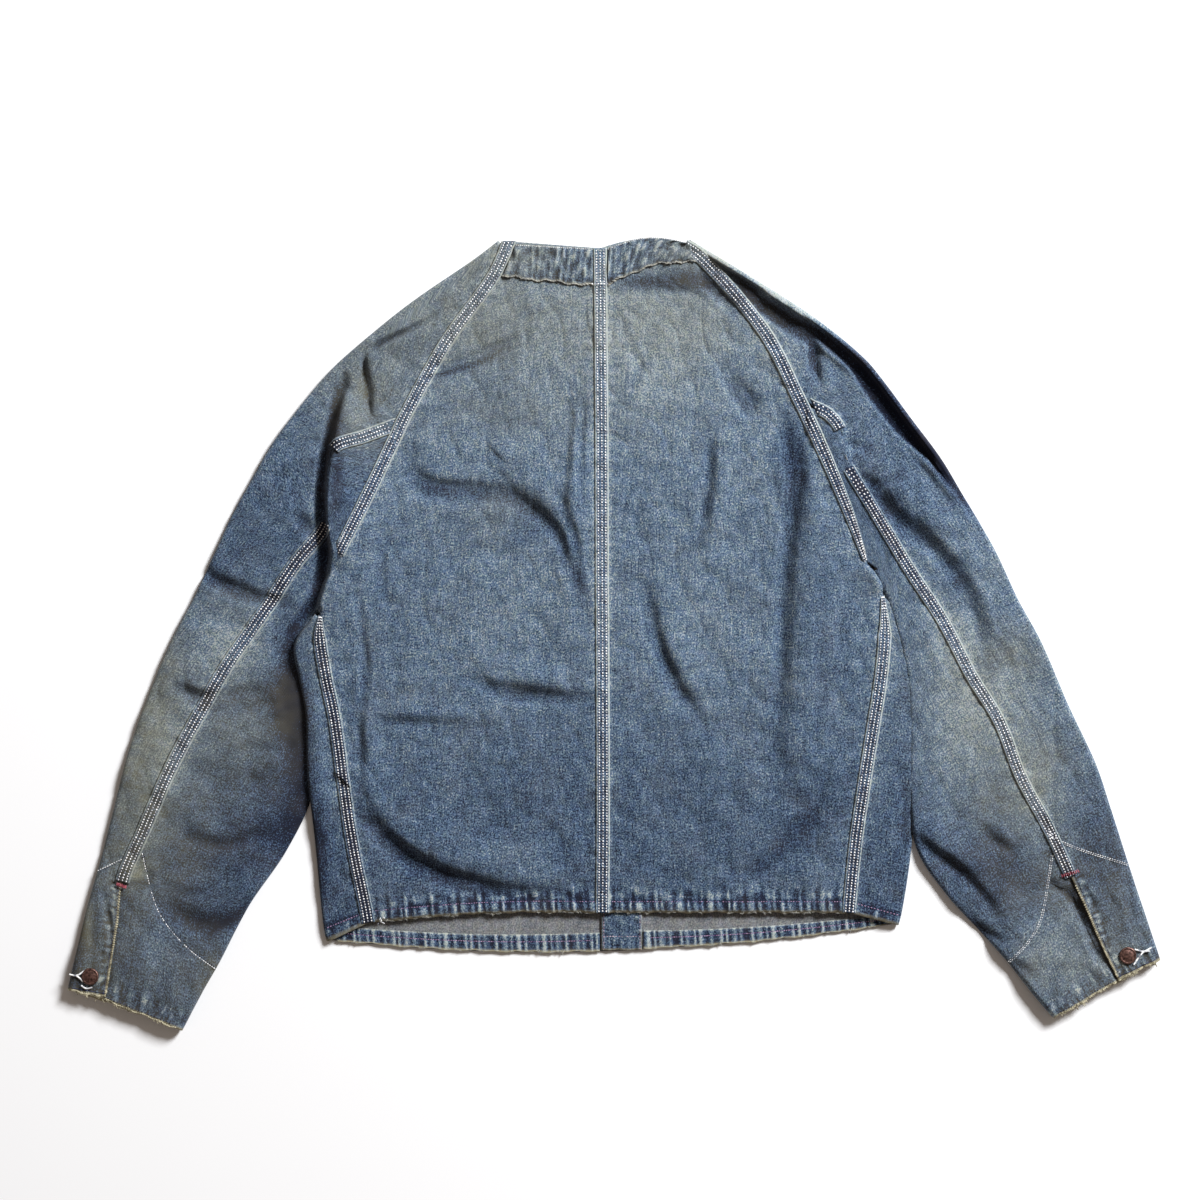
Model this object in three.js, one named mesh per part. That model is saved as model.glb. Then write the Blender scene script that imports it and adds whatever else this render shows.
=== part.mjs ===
// A faded collarless denim work jacket with raglan sleeves, laid flat with its back up.
// Millimetres. X runs across the jacket, Y towards the neck, Z up from the surface it lies on.
// The walls are washed denim. Every piece is a thin shell worked out from its outer surface.
import * as THREE from "three";

// Driving dimensions
const CLOTH = 1.2; // wall of one layer of denim
const SEAM_GAP = 0.3; // between neighbouring pieces
const FELL = 1.2; // how thick the band of a felled seam is
const FELL_HALF = 7; // half the width of a body seam's band
const SLEEVE_FELL_HALF = 6; // half the width of a sleeve seam's band
const BODY_LOFT = 8; // outer surface of the back above the floor
const SLEEVE_LOFT = 9; // outer surface of a sleeve above the floor
const LOWEST = 6.2; // no valley of the upper layer goes below this
const EDGE_ROUND = 4.5; // how far in from an edge the cloth starts to roll under
const LAP = 15; // how far the cuff's under side runs below its flap
const LAP_DROP = 1.9; // how much lower it lies there
const ROLL = { in: 0.12, high: 0.74, low: 0.36 }; // the roll's points, as shares of round and height
const RAGLAN_BLEND = 30; // how far beyond its band a raglan seam's height reaches
const SLIT_STRIP = 3; // strip of the cuff's under side inside the slit's edge
const BAND_INSET = 0.5; // how far the neck band stays clear of the seam bands
const BACK_COLUMNS = 11; // stretches between the seam bands across one half of the back
const SLEEVE_COLUMNS = 5; // stretches between a sleeve seam and the roll of an edge
const FRONT_COLUMNS = 3; // stretches across the flat of a front
const HEM_ROWS = 2; // rows of a panel that the hem takes
const NECK_ROWS = 3; // rows of the back that the neck band covers
const BUTTON = {
  radius: 8.6, clear: 0.6, sides: 24,
  profile: [[0, 0], [7.6, 0], [8.6, 0.8], [8.2, 1.9], [7, 2.3], [3.5, 2.9], [0, 3.1]],
};
const NECK_DIP = 26; // how far the front's neckline hollows
const FACING = { inner: -12.6, outer: 28, top: 286 }; // strip inside the front opening
const FRONT_EDGES = { left: 28, right: -13 }; // where each front ends at the opening
const FRONT_HEM = -316; // lower end of the fronts at the opening
const FRONT_INSET = 6; // from a body edge's roll to the first point of the front's flat
const FRONT_STEP = { start: 8, end: 1.6 }; // where the right front climbs on the left one

// Folds and creases. Each follows a line of [x, y, rise] marks, and falls away over its left
// and its right width, seen along the line. A negative rise is a crease, on says whose cloth.
const ARMPIT_FOLD = [
  [-272, 247, 1], [-280, 215, 10], [-286, 171, 13], [-285, 115, 14], [-280, 77, 14],
];
const FOLDS = [
  { at: [...ARMPIT_FOLD, [-288, 58, 0]], left: 75, right: 7, on: "sleeve" },
  { at: [...ARMPIT_FOLD, [-292, 35, 11], [-321, -9, 6], [-322, -34, 4], [-312, -60, 0]],
    left: 75, right: 7, on: "body" },
  { at: [[-167, 316, 1], [-214, 300, 4], [-249, 280, 3]], left: 22, right: 26, on: "sleeve" },
  { at: [[-251, 277, -1], [-247, 245, -4], [-243, 216, -1]], left: 9, right: 15, on: "sleeve" },
  { at: [[-182, 256, -1], [-142, 272, -4], [-92, 296, -1]], left: 16, right: 16, on: "body" },
  { at: [[-206, 180, -1], [-196, 156, -4], [-176, 147, -5], [-104, 139, -3], [-40, 103, -1]],
    left: 14, right: 22, on: "body" },
  { at: [[-100, 165, 3], [-52, 112, 5], [-42, 20, 3], [-60, -40, 1]],
    left: 55, right: 24, on: "body" },
  { at: [[-40, 233, 1], [-36, 212, 4], [-42, 137, 4], [-42, 60, 1]],
    left: 26, right: 10, on: "body" },
  { at: [[-128, -38, 2], [-76, -46, 5], [-22, -54, 2]], left: 22, right: 12, on: "body" },
  { at: [[-226, -80, 2], [-176, -78, 4], [-124, -80, 1]], left: 20, right: 12, on: "body" },
  { at: [[-256, -50, 2], [-248, -100, 4], [-246, -155, 3]], left: 22, right: 10, on: "body" },
  { at: [[-258, -158, 3], [-208, -203, 6], [-132, -232, 6], [-54, -243, 2]],
    left: 46, right: 18, on: "body" },
  { at: [[51, 337, 0], [34, 295, -2], [16, 255, 0]], left: 12, right: 12, on: "body" },
  { at: [[109, 277, -1], [134, 231, -4]], left: 18, right: 18, on: "body" },
  { at: [[106, 186, 2], [100, 130, 4], [94, 82, 1]], left: 24, right: 14, on: "body" },
  { at: [[196, 196, 3], [202, 135, 7], [194, 75, 7], [188, -5, 7], [184, -140, 2]],
    left: 60, right: 24, on: "body" },
  { at: [[48, 30, 2], [64, -22, 4], [94, -72, 1]], left: 24, right: 14, on: "body" },
  { at: [[228, -153, -1], [196, -194, -3], [164, -237, -1]], left: 26, right: 26, on: "body" },
  { at: [[289, -140, -1], [290, -180, -3], [288, -220, -2]], left: 8, right: 10, on: "body" },
  { at: [[-321, 122, -1], [-310, 112, -4], [-298, 99, -2]], left: 10, right: 10, on: "sleeve" },
  { at: [[-402, 57, -2], [-378, 44, -4], [-352, 34, -1]], left: 14, right: 12, on: "sleeve" },
  { at: [[-436, -54, -2], [-414, -68, -4], [-392, -76, -1]], left: 14, right: 12, on: "sleeve" },
  { at: [[-404, -86, -1], [-372, -66, -4], [-332, -58, -2]], left: 18, right: 16, on: "sleeve" },
  { at: [[-430, -128, -1], [-384, -148, -3], [-334, -146, -1]], left: 20, right: 20, on: "sleeve" },
  { at: [[-454, -268, -1], [-410, -290, -5], [-364, -272, -2]], left: 18, right: 16, on: "sleeve" },
  { at: [[-500, -345, 5], [-440, -372, 5]], left: 120, right: 120, on: "sleeve" },
  { at: [[116, 364, 0], [148, 340, 9], [194, 310, 10], [236, 278, 10], [264, 250, 10],
    [304, 198, 9], [328, 164, 6], [369, 93, 3], [393, 40, 0]], left: 20, right: 16, on: "sleeve" },
  { at: [[252, 160, 2], [292, 142, 5], [344, 82, 6], [384, 2, 3]],
    left: 30, right: 24, on: "sleeve" },
  { at: [[198, 303, -1], [200, 280, -4], [199, 254, -1]], left: 12, right: 9, on: "sleeve" },
  { at: [[222, 216, 3], [228, 190, 4], [234, 168, 2]], left: 8, right: 22, on: "sleeve" },
  { at: [[306, -194, 3], [327, -211, 5], [350, -231, 6], [373, -256, 4], [398, -292, 2]],
    left: 34, right: 9, on: "sleeve" },
  { at: [[500, -325, 5], [450, -355, 5]], left: 120, right: 120, on: "sleeve" },
];

// The body, from the hem up: marks of the middle seam, a side seam and the folded edge outside it.
const BODY_STEPS = [1, 3, 3, 3, 2, 2, 1];
const MIDDLE = [
  [-11.5, -278], [-11.5, -266], [-11, -203], [-11, -140], [-11.2, -75], [-11.4, -35],
  [-11.6, 10], [-11.8, 35],
];
const ARMPIT_STEPS = 3;
const MIDDLE_ARMPIT = [-12, 92];
const MIDDLE_RAGLAN = [[-12.4, 210], [-12.5, 220], [-13.6, 349], [-14, 387]];

// The raglan seams, from the armpit to the neck: up to just below where the sleeve seam meets
// it, to that meeting, to the lower edge of the neck band and to the neck.
const RAGLAN_STEPS = [5, 1, 7, 2];

// The seams below the sleeves follow the raglan seams at the front, from the armpit to the neck.
const FRONT_RAGLAN_STEPS = [1, 3, 3, 4, 3, 2];

// The sleeves, from the cuff up. Each section gives the back seam (the slit's edge below its
// top), the outer edge, the inner edge and how far across the under side the lower seam lies.
const LEFT = {
  side: -1,
  seam: [
    [-246, -288], [-248, -276], [-262, -207], [-271, -145], [-280, -81], [-288, -43],
    [-294, -1], [-293, 20],
  ],
  edge: [
    [-288, -307], [-291, -292], [-300, -202], [-307, -139], [-309, -78], [-316, -42],
    [-322, -9], [-304, 22],
  ],
  raglan: [
    [-276, 79], [-244, 144], [-216.5, 203], [-212, 213], [-169, 291], [-119, 362], [-105, 394],
  ],
  raglanSteps: [3, 2, 1, 4, 3, 2],
  sleeve: [
    { seam: [-508, -362], outer: [-547, -355], inner: [-432, -396], under: 0.5, steps: 2 },
    { seam: [-501, -318], outer: [-537, -312], inner: [-411, -356], under: 0.5, steps: 1 },
    { seam: [-496, -285], outer: [-528, -274], inner: [-395, -328], under: 0.5, steps: 1 },
    { seam: [-492, -247], outer: [-516, -232], inner: [-366, -272], under: 0.5, steps: 2 },
    { seam: [-470, -194], outer: [-503, -182], inner: [-330, -216], under: 0.5, steps: 2 },
    { seam: [-441, -128], outer: [-486, -116], inner: [-311, -162], under: 0.5, steps: 2 },
    { seam: [-412, -74], outer: [-463, -52], inner: [-313, -92], under: 0.5, steps: 2 },
    { seam: [-388, -32], outer: [-443, -5], inner: [-326, -42], under: 0.52, steps: 3 },
    { seam: [-349, 25], outer: [-420, 39], inner: [-326, -6], under: 0.6, steps: 2 },
    { seam: [-319, 71], outer: [-401, 80], inner: [-303, 32], under: 0.75, steps: 2 },
    { seam: [-288, 112], outer: [-382, 121], inner: [-284, 67], under: 0.9, steps: 0 },
  ],
  armpitSeam: [[-284, 150], [-280, 186], [-250, 198], [-228, 206.5], [-223, 208.5]],
  armpitSteps: [2, 1, 1, 1, 1],
  armpitOuter: [[-366, 150], [-342, 192], [-320, 222], [-294, 254], [-282, 267]],
  raglanOuter: [[-268, 280], [-206, 331], [-138, 378], [-116, 395]],
  frontRaglan: [[-280, 72], [-246, 142], [-212, 205], [-169, 288], [-122, 358], [-112, 388]],
  stubStart: 3,
  stubSlant: 5.6,
  sleeveFellTop: 0,
  neckRise: 0,
  hemRise: 4,
  frontHem: 6,
  button: [-523, -341],
};
const RIGHT = {
  side: 1,
  seam: [
    [235, -278], [236, -266], [242, -207], [251, -145], [260, -88], [267, -43],
    [271, 5], [269, 40],
  ],
  edge: [
    [285, -291], [288, -280], [298, -213], [301, -150], [302, -93], [301, -47],
    [288, 0], [279, 35],
  ],
  raglan: [
    [253, 73], [237, 120], [190, 226], [184, 238], [155, 302], [86, 378.5], [70, 389.5],
  ],
  raglanSteps: [2, 3, 1, 3, 4, 2],
  sleeve: [
    { seam: [504, -345], outer: [547, -325], inner: [440, -384], under: 0.5, steps: 2 },
    { seam: [485, -306], outer: [536, -292], inner: [417, -357], under: 0.5, steps: 1 },
    { seam: [473, -277], outer: [526, -262], inner: [396, -330], under: 0.5, steps: 1 },
    { seam: [457, -242], outer: [513, -222], inner: [366, -296], under: 0.5, steps: 2 },
    { seam: [435, -194], outer: [499, -178], inner: [333, -260], under: 0.5, steps: 2 },
    { seam: [407, -142], outer: [483, -130], inner: [305, -214], under: 0.5, steps: 2 },
    { seam: [385, -86], outer: [456, -72], inner: [304, -154], under: 0.5, steps: 2 },
    { seam: [357, -40], outer: [427, -5], inner: [304.6, -95], under: 0.52, steps: 2 },
    { seam: [329, 14], outer: [405, 35], inner: [302.5, -36], under: 0.6, steps: 2 },
    { seam: [296, 65], outer: [383, 82], inner: [285, 28], under: 0.75, steps: 2 },
    { seam: [256, 132], outer: [345, 148], inner: [265, 64], under: 0.9, steps: 0 },
  ],
  armpitSeam: [[240, 158], [230, 176], [226, 206], [214, 221], [203, 227]],
  armpitSteps: [1, 1, 2, 1, 1],
  armpitOuter: [[331, 171], [320, 187], [298, 216], [276, 246], [266, 259]],
  raglanOuter: [[252, 273], [203, 311], [93, 384], [76, 396]],
  frontRaglan: [[257, 66], [236, 118], [202, 200], [159, 290], [88, 370], [74, 386]],
  stubStart: 4,
  stubSlant: 8.4,
  sleeveFellTop: 1,
  neckRise: 8,
  hemRise: 0,
  frontHem: 5,
  button: [513, -320],
};

// The profile of a fold: 1 on its line, flat there, and 0 at its full width.
const swell = (share) => (share < 1 ? (1 - share * share) ** 2 : 0);

// How much one fold lifts the cloth at a point, from the nearest place on its line.
function liftOf(fold, x, y) {
  let nearest = Infinity;
  let lift = 0;
  for (let k = 0; k + 1 < fold.at.length; k += 1) {
    const [ax, ay, from] = fold.at[k];
    const [bx, by, to] = fold.at[k + 1];
    const [ux, uy] = [bx - ax, by - ay];
    const along = ((x - ax) * ux + (y - ay) * uy) / (ux * ux + uy * uy);
    const t = Math.min(1, Math.max(0, along));
    const away = Math.hypot(x - ax - t * ux, y - ay - t * uy);
    if (away < nearest) {
      nearest = away;
      const onLeft = ux * (y - ay) - uy * (x - ax) > 0;
      lift = (from + t * (to - from)) * swell(away / (onLeft ? fold.left : fold.right));
    }
  }
  return lift;
}

// Height of the upper layer's outer surface, for the body's cloth or a sleeve's.
function heightAt(x, y, cloth) {
  const loft = cloth === "body" ? BODY_LOFT : SLEEVE_LOFT;
  const folds = FOLDS.filter((fold) => fold.on === cloth);
  return Math.max(LOWEST, folds.reduce((sum, fold) => sum + liftOf(fold, x, y), loft));
}

// Both sides of a raglan seam meet at one height there, the mean of the two cloths.
function seamHeight(x, y) {
  return (heightAt(x, y, "body") + heightAt(x, y, "sleeve")) / 2;
}

// Points on a smooth line through the marks, with so many steps in each stretch.
function trace(marks, steps) {
  const curve = new THREE.CatmullRomCurve3(
    marks.map(([x, y]) => new THREE.Vector3(x, y, 0)), false, "centripetal",
  );
  const points = [curve.getPoint(0)];
  steps.forEach((count, stretch) => {
    for (let s = 1; s <= count; s += 1) {
      points.push(curve.getPoint((stretch + s / count) / (marks.length - 1)));
    }
  });
  return points.map((point) => new THREE.Vector2(point.x, point.y));
}

// A seam line with its outward direction, away from the middle of the jacket, at each point.
function rail(points, side) {
  return points.map((point, i) => {
    const before = points[Math.max(0, i - 1)];
    const after = points[Math.min(points.length - 1, i + 1)];
    const along = after.clone().sub(before).normalize();
    return { point, along, out: new THREE.Vector2(side * along.y, -side * along.x) };
  });
}

const beside = (station, distance) => station.point.clone().addScaledVector(station.out, distance);
const onTop = (flat, z) => new THREE.Vector3(flat.x, flat.y, z);

const UP = new THREE.Vector3(0, 0, 1);

// One closed thin shell. rows holds outer points, null where a row has no such column; hand is
// 1 or -1 and turns the normals out. seamAt tells a seam's edge, where the wall goes straight
// down, and crossed picks the other diagonal of a cell.
function shell(rows, hand, { seamAt = () => false, crossed = () => false } = {}) {
  const width = rows[0].length;
  const cells = [];
  const normals = rows.map((row) => row.map(() => new THREE.Vector3()));
  const corner = (i, j) => rows[i][j];
  for (let i = 0; i + 1 < rows.length; i += 1) {
    for (let j = 0; j + 1 < width; j += 1) {
      const ring = [[i, j], [i, j + 1], [i + 1, j + 1], [i + 1, j]];
      if (ring.every(([r, c]) => corner(r, c))) {
        cells.push(crossed(i, j) ? [ring[1], ring[2], ring[3], ring[0]] : ring);
        const across = corner(i, j + 1).clone().sub(corner(i, j))
          .add(corner(i + 1, j + 1)).sub(corner(i + 1, j));
        const up = corner(i + 1, j).clone().sub(corner(i, j))
          .add(corner(i + 1, j + 1)).sub(corner(i, j + 1));
        const normal = up.cross(across).multiplyScalar(hand).normalize();
        ring.forEach(([r, c]) => normals[r][c].add(normal));
      }
    }
  }
  const index = new Map();
  const positions = [];
  const vertex = (r, c, layer) => {
    const key = `${r},${c},${layer}`;
    if (!index.has(key)) {
      index.set(key, positions.length / 3);
      const point = corner(r, c).clone();
      const normal = seamAt(r, c) ? UP : normals[r][c].normalize();
      if (layer === 1) point.addScaledVector(normal, -CLOTH);
      positions.push(point.x, point.y, point.z);
    }
    return index.get(key);
  };
  const faces = [];
  const open = new Map();
  cells.forEach((ring) => {
    const outer = ring.map(([r, c]) => vertex(r, c, 0));
    const inner = ring.map(([r, c]) => vertex(r, c, 1));
    faces.push([outer[0], outer[1], outer[2]], [outer[0], outer[2], outer[3]]);
    faces.push([inner[0], inner[2], inner[1]], [inner[0], inner[3], inner[2]]);
    ring.forEach((from, k) => {
      const to = ring[(k + 1) % 4];
      const back = `${to}|${from}`;
      if (open.has(back)) open.delete(back);
      else open.set(`${from}|${to}`, [from, to]);
    });
  });
  open.forEach(([from, to]) => {
    const [a, b] = [vertex(...from, 0), vertex(...to, 0)];
    const [c, d] = [vertex(...to, 1), vertex(...from, 1)];
    faces.push([a, c, b], [a, d, c]);
  });
  return closedGeometry(positions, faces);
}

// Turns the faces round where the body would be inside out.
function closedGeometry(positions, faces) {
  const at = (k) => new THREE.Vector3().fromArray(positions, 3 * k);
  const volume = faces.reduce((sum, [a, b, c]) => sum + at(a).dot(at(b).cross(at(c))), 0);
  const turned = volume < 0 ? faces.map(([a, b, c]) => [a, c, b]) : faces;
  const geometry = new THREE.BufferGeometry();
  geometry.setAttribute("position", new THREE.Float32BufferAttribute(positions, 3));
  geometry.setIndex(turned.flat());
  geometry.computeVertexNormals();
  return geometry;
}

const jacket = new THREE.Group();
const finishes = {
  body: { color: 0x4f6f93, roughness: 0.95, metalness: 0 },
  sleeve: { color: 0x5a7794, roughness: 0.95, metalness: 0 },
  front: { color: 0x46658a, roughness: 0.95, metalness: 0 },
  fell: { color: 0x9aa7b5, roughness: 0.9, metalness: 0 },
  band: { color: 0x52708a, roughness: 0.95, metalness: 0 },
  button: { color: 0x4a2f28, roughness: 0.45, metalness: 0.8 },
};
function add(name, geometry, finish) {
  const mesh = new THREE.Mesh(geometry, new THREE.MeshStandardMaterial(finishes[finish]));
  mesh.name = name;
  jacket.add(mesh);
  return mesh;
}

// How wide the seam band's strip of a panel may be where the panel narrows: these shares of it,
// the wider one for a sleeve's top piece, which ends narrow at the neck.
const PANEL_STRIP = 0.42;
const NECK_STRIP = 0.66;
const strip = (half, width, share = PANEL_STRIP) => Math.min(half, share * width);

// The cloth's roll at a folded edge, from its upper surface down to the floor.
function roll(edge, out, height) {
  const start = edge.clone().addScaledVector(out, -EDGE_ROUND);
  const near = edge.clone().addScaledVector(out, -ROLL.in * EDGE_ROUND);
  return [onTop(near, ROLL.high * height), onTop(edge, ROLL.low * height), onTop(start, 0)];
}

// Points between two flat places, without the ends.
const between = (from, to, count) => Array.from({ length: count - 1 },
  (_, k) => from.clone().lerp(to, (k + 1) / count));

// Band of a felled seam: it lies on the two panels, whose points beside the seam it shares.
function fell(name, stations, half, height, slant = 0) {
  const rows = stations.map((station, i) => {
    const slide = i === stations.length - 1 ? slant : 0;
    return [half, 0, -half].map((distance) => {
      const shift = slide * Math.sign(distance);
      const flat = beside(station, distance).addScaledVector(station.along, shift);
      return onTop(flat, height(flat, distance) + SEAM_GAP + FELL);
    });
  });
  const positions = [];
  const faces = [];
  rows.forEach((row) => row.forEach((point) => {
    positions.push(point.x, point.y, point.z, point.x, point.y, point.z - FELL);
  }));
  const id = (i, j, layer) => 2 * (3 * i + j) + layer;
  for (let i = 0; i + 1 < rows.length; i += 1) {
    const quads = [
      [[i, 1], [i + 1, 1], [i + 1, 0], [i, 0]],
      [[i, 1], [i, 2], [i + 1, 2], [i + 1, 1]],
    ];
    quads.forEach((ring) => {
      const [a, b, c, d] = ring.map(([r, q]) => id(r, q, 0));
      faces.push([a, b, c], [a, c, d], [a + 1, c + 1, b + 1], [a + 1, d + 1, c + 1]);
    });
    [0, 2].forEach((edge) => {
      const [a, b] = edge === 0 ? [id(i + 1, 0, 0), id(i, 0, 0)] : [id(i, 2, 0), id(i + 1, 2, 0)];
      faces.push([a, a + 1, b + 1], [a, b + 1, b]);
    });
  }
  const last = rows.length - 1;
  [0, 1].forEach((j) => {
    const [a, b, c, d] = [id(0, j + 1, 0), id(0, j, 0), id(0, j, 1), id(0, j + 1, 1)];
    faces.push([a, b, c], [a, c, d]);
    const [e, f, g, h] = [id(last, j, 0), id(last, j + 1, 0), id(last, j + 1, 1), id(last, j, 1)];
    faces.push([e, f, g], [e, g, h]);
  });
  add(name, closedGeometry(positions, faces), "fell");
}

// One half of the jacket: half the back, a front, a sleeve's two pieces and their seams.
function buildHalf(plan, label) {
  const { side } = plan;
  const body = (flat) => heightAt(flat.x, flat.y, "body");
  const cloth = (flat) => heightAt(flat.x, flat.y, "sleeve");

  const sideSeam = rail(trace(plan.seam, BODY_STEPS), side);
  const edge = rail(trace(plan.edge, BODY_STEPS), side);
  const raglan = rail(trace(plan.raglan, plan.raglanSteps), side);
  const armpit = rail(trace([plan.seam[7], plan.raglan[0]], [ARMPIT_STEPS]), side).slice(1, -1);
  const middle = middleSeam(side);
  const outline = [...sideSeam, ...armpit, ...raglan];

  // Height beside a raglan seam fades from the seam's own to the panel's.
  const nearRaglan = (flat, own) => {
    const away = Math.min(...raglan.map((station) => station.point.distanceTo(flat)));
    const share = swell(Math.max(0, away - FELL_HALF) / RAGLAN_BLEND);
    return share * seamHeight(flat.x, flat.y) + (1 - share) * own(flat);
  };
  const bodyTop = (flat) => nearRaglan(flat, body);
  const sleeveTop = (flat) => nearRaglan(flat, cloth);

  // Half of the back, from the middle seam out.
  const backRows = outline.map((station, i) => {
    const centre = middle[i];
    const hem = i < HEM_ROWS ? plan.hemRise : 0;
    const neck = i >= outline.length - NECK_ROWS ? plan.neckRise : 0;
    const start = beside(centre, FELL_HALF);
    const end = beside(station, -FELL_HALF);
    const across = between(start, end, BACK_COLUMNS).map((flat, k) => {
      flat.y += (hem + neck) * Math.sin((Math.PI * (k + 1)) / BACK_COLUMNS);
      return flat;
    });
    const flats = [beside(centre, SEAM_GAP / 2), start, ...across, end, beside(station, -SEAM_GAP / 2)];
    return flats.map((flat) => onTop(flat, bodyTop(flat)));
  });
  const last = backRows[0].length - 1;
  const backSeams = { seamAt: (i, j) => j === 0 || j === last, crossed: (i, j) => j === last - 1 };
  add(`back_${label}`, shell(backRows, side * -1, backSeams), "body");

  // Half of the neck band, lying on the back below the neck edge, between two seam bands.
  const bandRows = backRows.slice(-NECK_ROWS).map((row) => {
    const inner = row.slice(1, -1).map((point) => point.clone().setZ(point.z + SEAM_GAP + CLOTH));
    const count = inner.length;
    const nudge = (point, next) => point.add(next.clone().sub(point).setLength(BAND_INSET));
    nudge(inner[0], inner[1]);
    nudge(inner[count - 1], inner[count - 2]);
    return inner;
  });
  add(`neck_band_${label}`, shell(bandRows, side * -1), "band");

  const lines = sleeveLines(plan);
  buildFront(plan, label, { sideSeam, edge, bodyTop, frontRaglan: lines.lower.slice(lines.tubeRows) });
  buildSleeve(plan, label, { raglan, sleeveTop, ...lines });
  fell(`fell_side_${label}`, sideSeam, FELL_HALF, bodyTop);
  fell(`fell_raglan_${label}`, raglan, FELL_HALF,
    (flat, distance) => (distance > 0 ? sleeveTop(flat) : bodyTop(flat)));
}

// The middle seam of the back, one station for each row of a half.
function middleSeam(side) {
  const marks = [...MIDDLE, MIDDLE_ARMPIT, ...MIDDLE_RAGLAN];
  return rail(trace(marks, [...BODY_STEPS, ARMPIT_STEPS, ...RAGLAN_STEPS]), side);
}

// A front: from the side seam over the body's folded edge and flat under the back to the opening.
function buildFront(plan, label, { sideSeam, edge, bodyTop, frontRaglan }) {
  const { side } = plan;
  const opening = side < 0 ? FRONT_EDGES.left : FRONT_EDGES.right;
  const lap = FRONT_EDGES.left;
  const raise = CLOTH + SEAM_GAP;
  const floorAt = 6;
  const floorRow = (from, y, bulge) => {
    const end = new THREE.Vector2(opening, y);
    const near = from.clone().lerp(end, FRONT_INSET / Math.abs(opening - from.x));
    const stop = side < 0 ? FRONT_EDGES.right - CLOTH : lap + FRONT_STEP.start;
    const far = near.clone().lerp(end, (stop - near.x) / (opening - near.x));
    const flats = [from, near, ...between(near, far, FRONT_COLUMNS), far];
    const run = flats.map((flat, k) => {
      const share = (flat.x - from.x) / (opening - from.x);
      const point = onTop(flat, 0);
      if (k > 0) point.y -= bulge * Math.sin(Math.PI * share);
      return point;
    });
    if (side > 0) run.push(new THREE.Vector3(lap + FRONT_STEP.end, y, raise));
    run.push(new THREE.Vector3(opening, y, side < 0 ? 0 : raise));
    return run;
  };

  const openingY = (share) => FRONT_HEM + share * (FACING.top - FRONT_HEM);
  const total = sideSeam.length + frontRaglan.length - 1;
  const rows = [];
  sideSeam.forEach((station, i) => {
    const out = edge[i].out;
    const start = edge[i].point.clone().addScaledVector(out, -EDGE_ROUND);
    const width = station.point.distanceTo(start);
    const first = beside(station, strip(FELL_HALF, width));
    const half = first.clone().lerp(start, 0.5);
    const top = [beside(station, SEAM_GAP / 2), first, half, start];
    const round = roll(edge[i].point, out, bodyTop(start));
    const floor = new THREE.Vector2(round[2].x, round[2].y);
    const bulge = i < HEM_ROWS ? plan.frontHem : 0;
    const flats = top.map((flat) => onTop(flat, bodyTop(flat)));
    rows.push([...flats, round[0], round[1], ...floorRow(floor, openingY(i / total), bulge)]);
  });
  frontRaglan.forEach((station, k) => {
    const from = beside(station, -SEAM_GAP / 2);
    const share = (sideSeam.length + k) / total;
    const dip = NECK_DIP * Math.sin((Math.PI * k) / (2 * frontRaglan.length));
    rows.push([...Array(floorAt).fill(null), ...floorRow(from, openingY(share), dip)]);
  });
  add(`front_${label}`, shell(rows, side * -1, { seamAt: (i, j) => j === 0 }), "front");

  // The hem turned up to the inside, lying on the front.
  const lift = CLOTH + SEAM_GAP;
  const hemRows = rows.slice(0, HEM_ROWS).map((row) => row.slice(floorAt + 1, -1)
    .map((point) => point.clone().setZ(point.z + lift)));
  add(`front_hem_${label}`, shell(hemRows, side * -1), "front");
}

// The lines of a sleeve, with one station for each row of its pieces, from the cuff up.
function sleeveLines(plan) {
  const { side } = plan;
  const steps = plan.sleeve.slice(0, -1).map((section) => section.steps);
  const tube = (key) => plan.sleeve.map((section) => section[key]);
  const seamMarks = [...tube("seam"), ...plan.armpitSeam];
  const seam = rail(trace(seamMarks, [...steps, ...plan.armpitSteps]), side);
  const tubeRows = steps.reduce((sum, count) => sum + count, 1);
  const outerMarks = [...tube("outer"), ...plan.armpitOuter, ...plan.raglanOuter];
  const outerSteps = [...steps, ...plan.armpitSteps, 1, ...plan.raglanSteps.slice(3)];
  const outer = rail(trace(outerMarks, outerSteps), side);
  const inner = rail(trace(tube("inner"), steps), side);
  const shares = steps.flatMap((count, k) => Array.from({ length: count }, (_, s) => {
    const [from, to] = [plan.sleeve[k].under, plan.sleeve[k + 1].under];
    return from + ((to - from) * s) / count;
  }));
  shares.push(plan.sleeve.at(-1).under);
  const below = shares.map((share, i) => outer[i].point.clone().lerp(inner[i].point, share));
  const armpit = below.at(-1);
  const front = trace([[armpit.x, armpit.y], ...plan.frontRaglan], FRONT_RAGLAN_STEPS).slice(1);
  const lower = rail([...below, ...front], side);
  return { seam, outer, inner, lower, tubeRows, slitRows: steps[0] + steps[1] + steps[2] };
}

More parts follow.
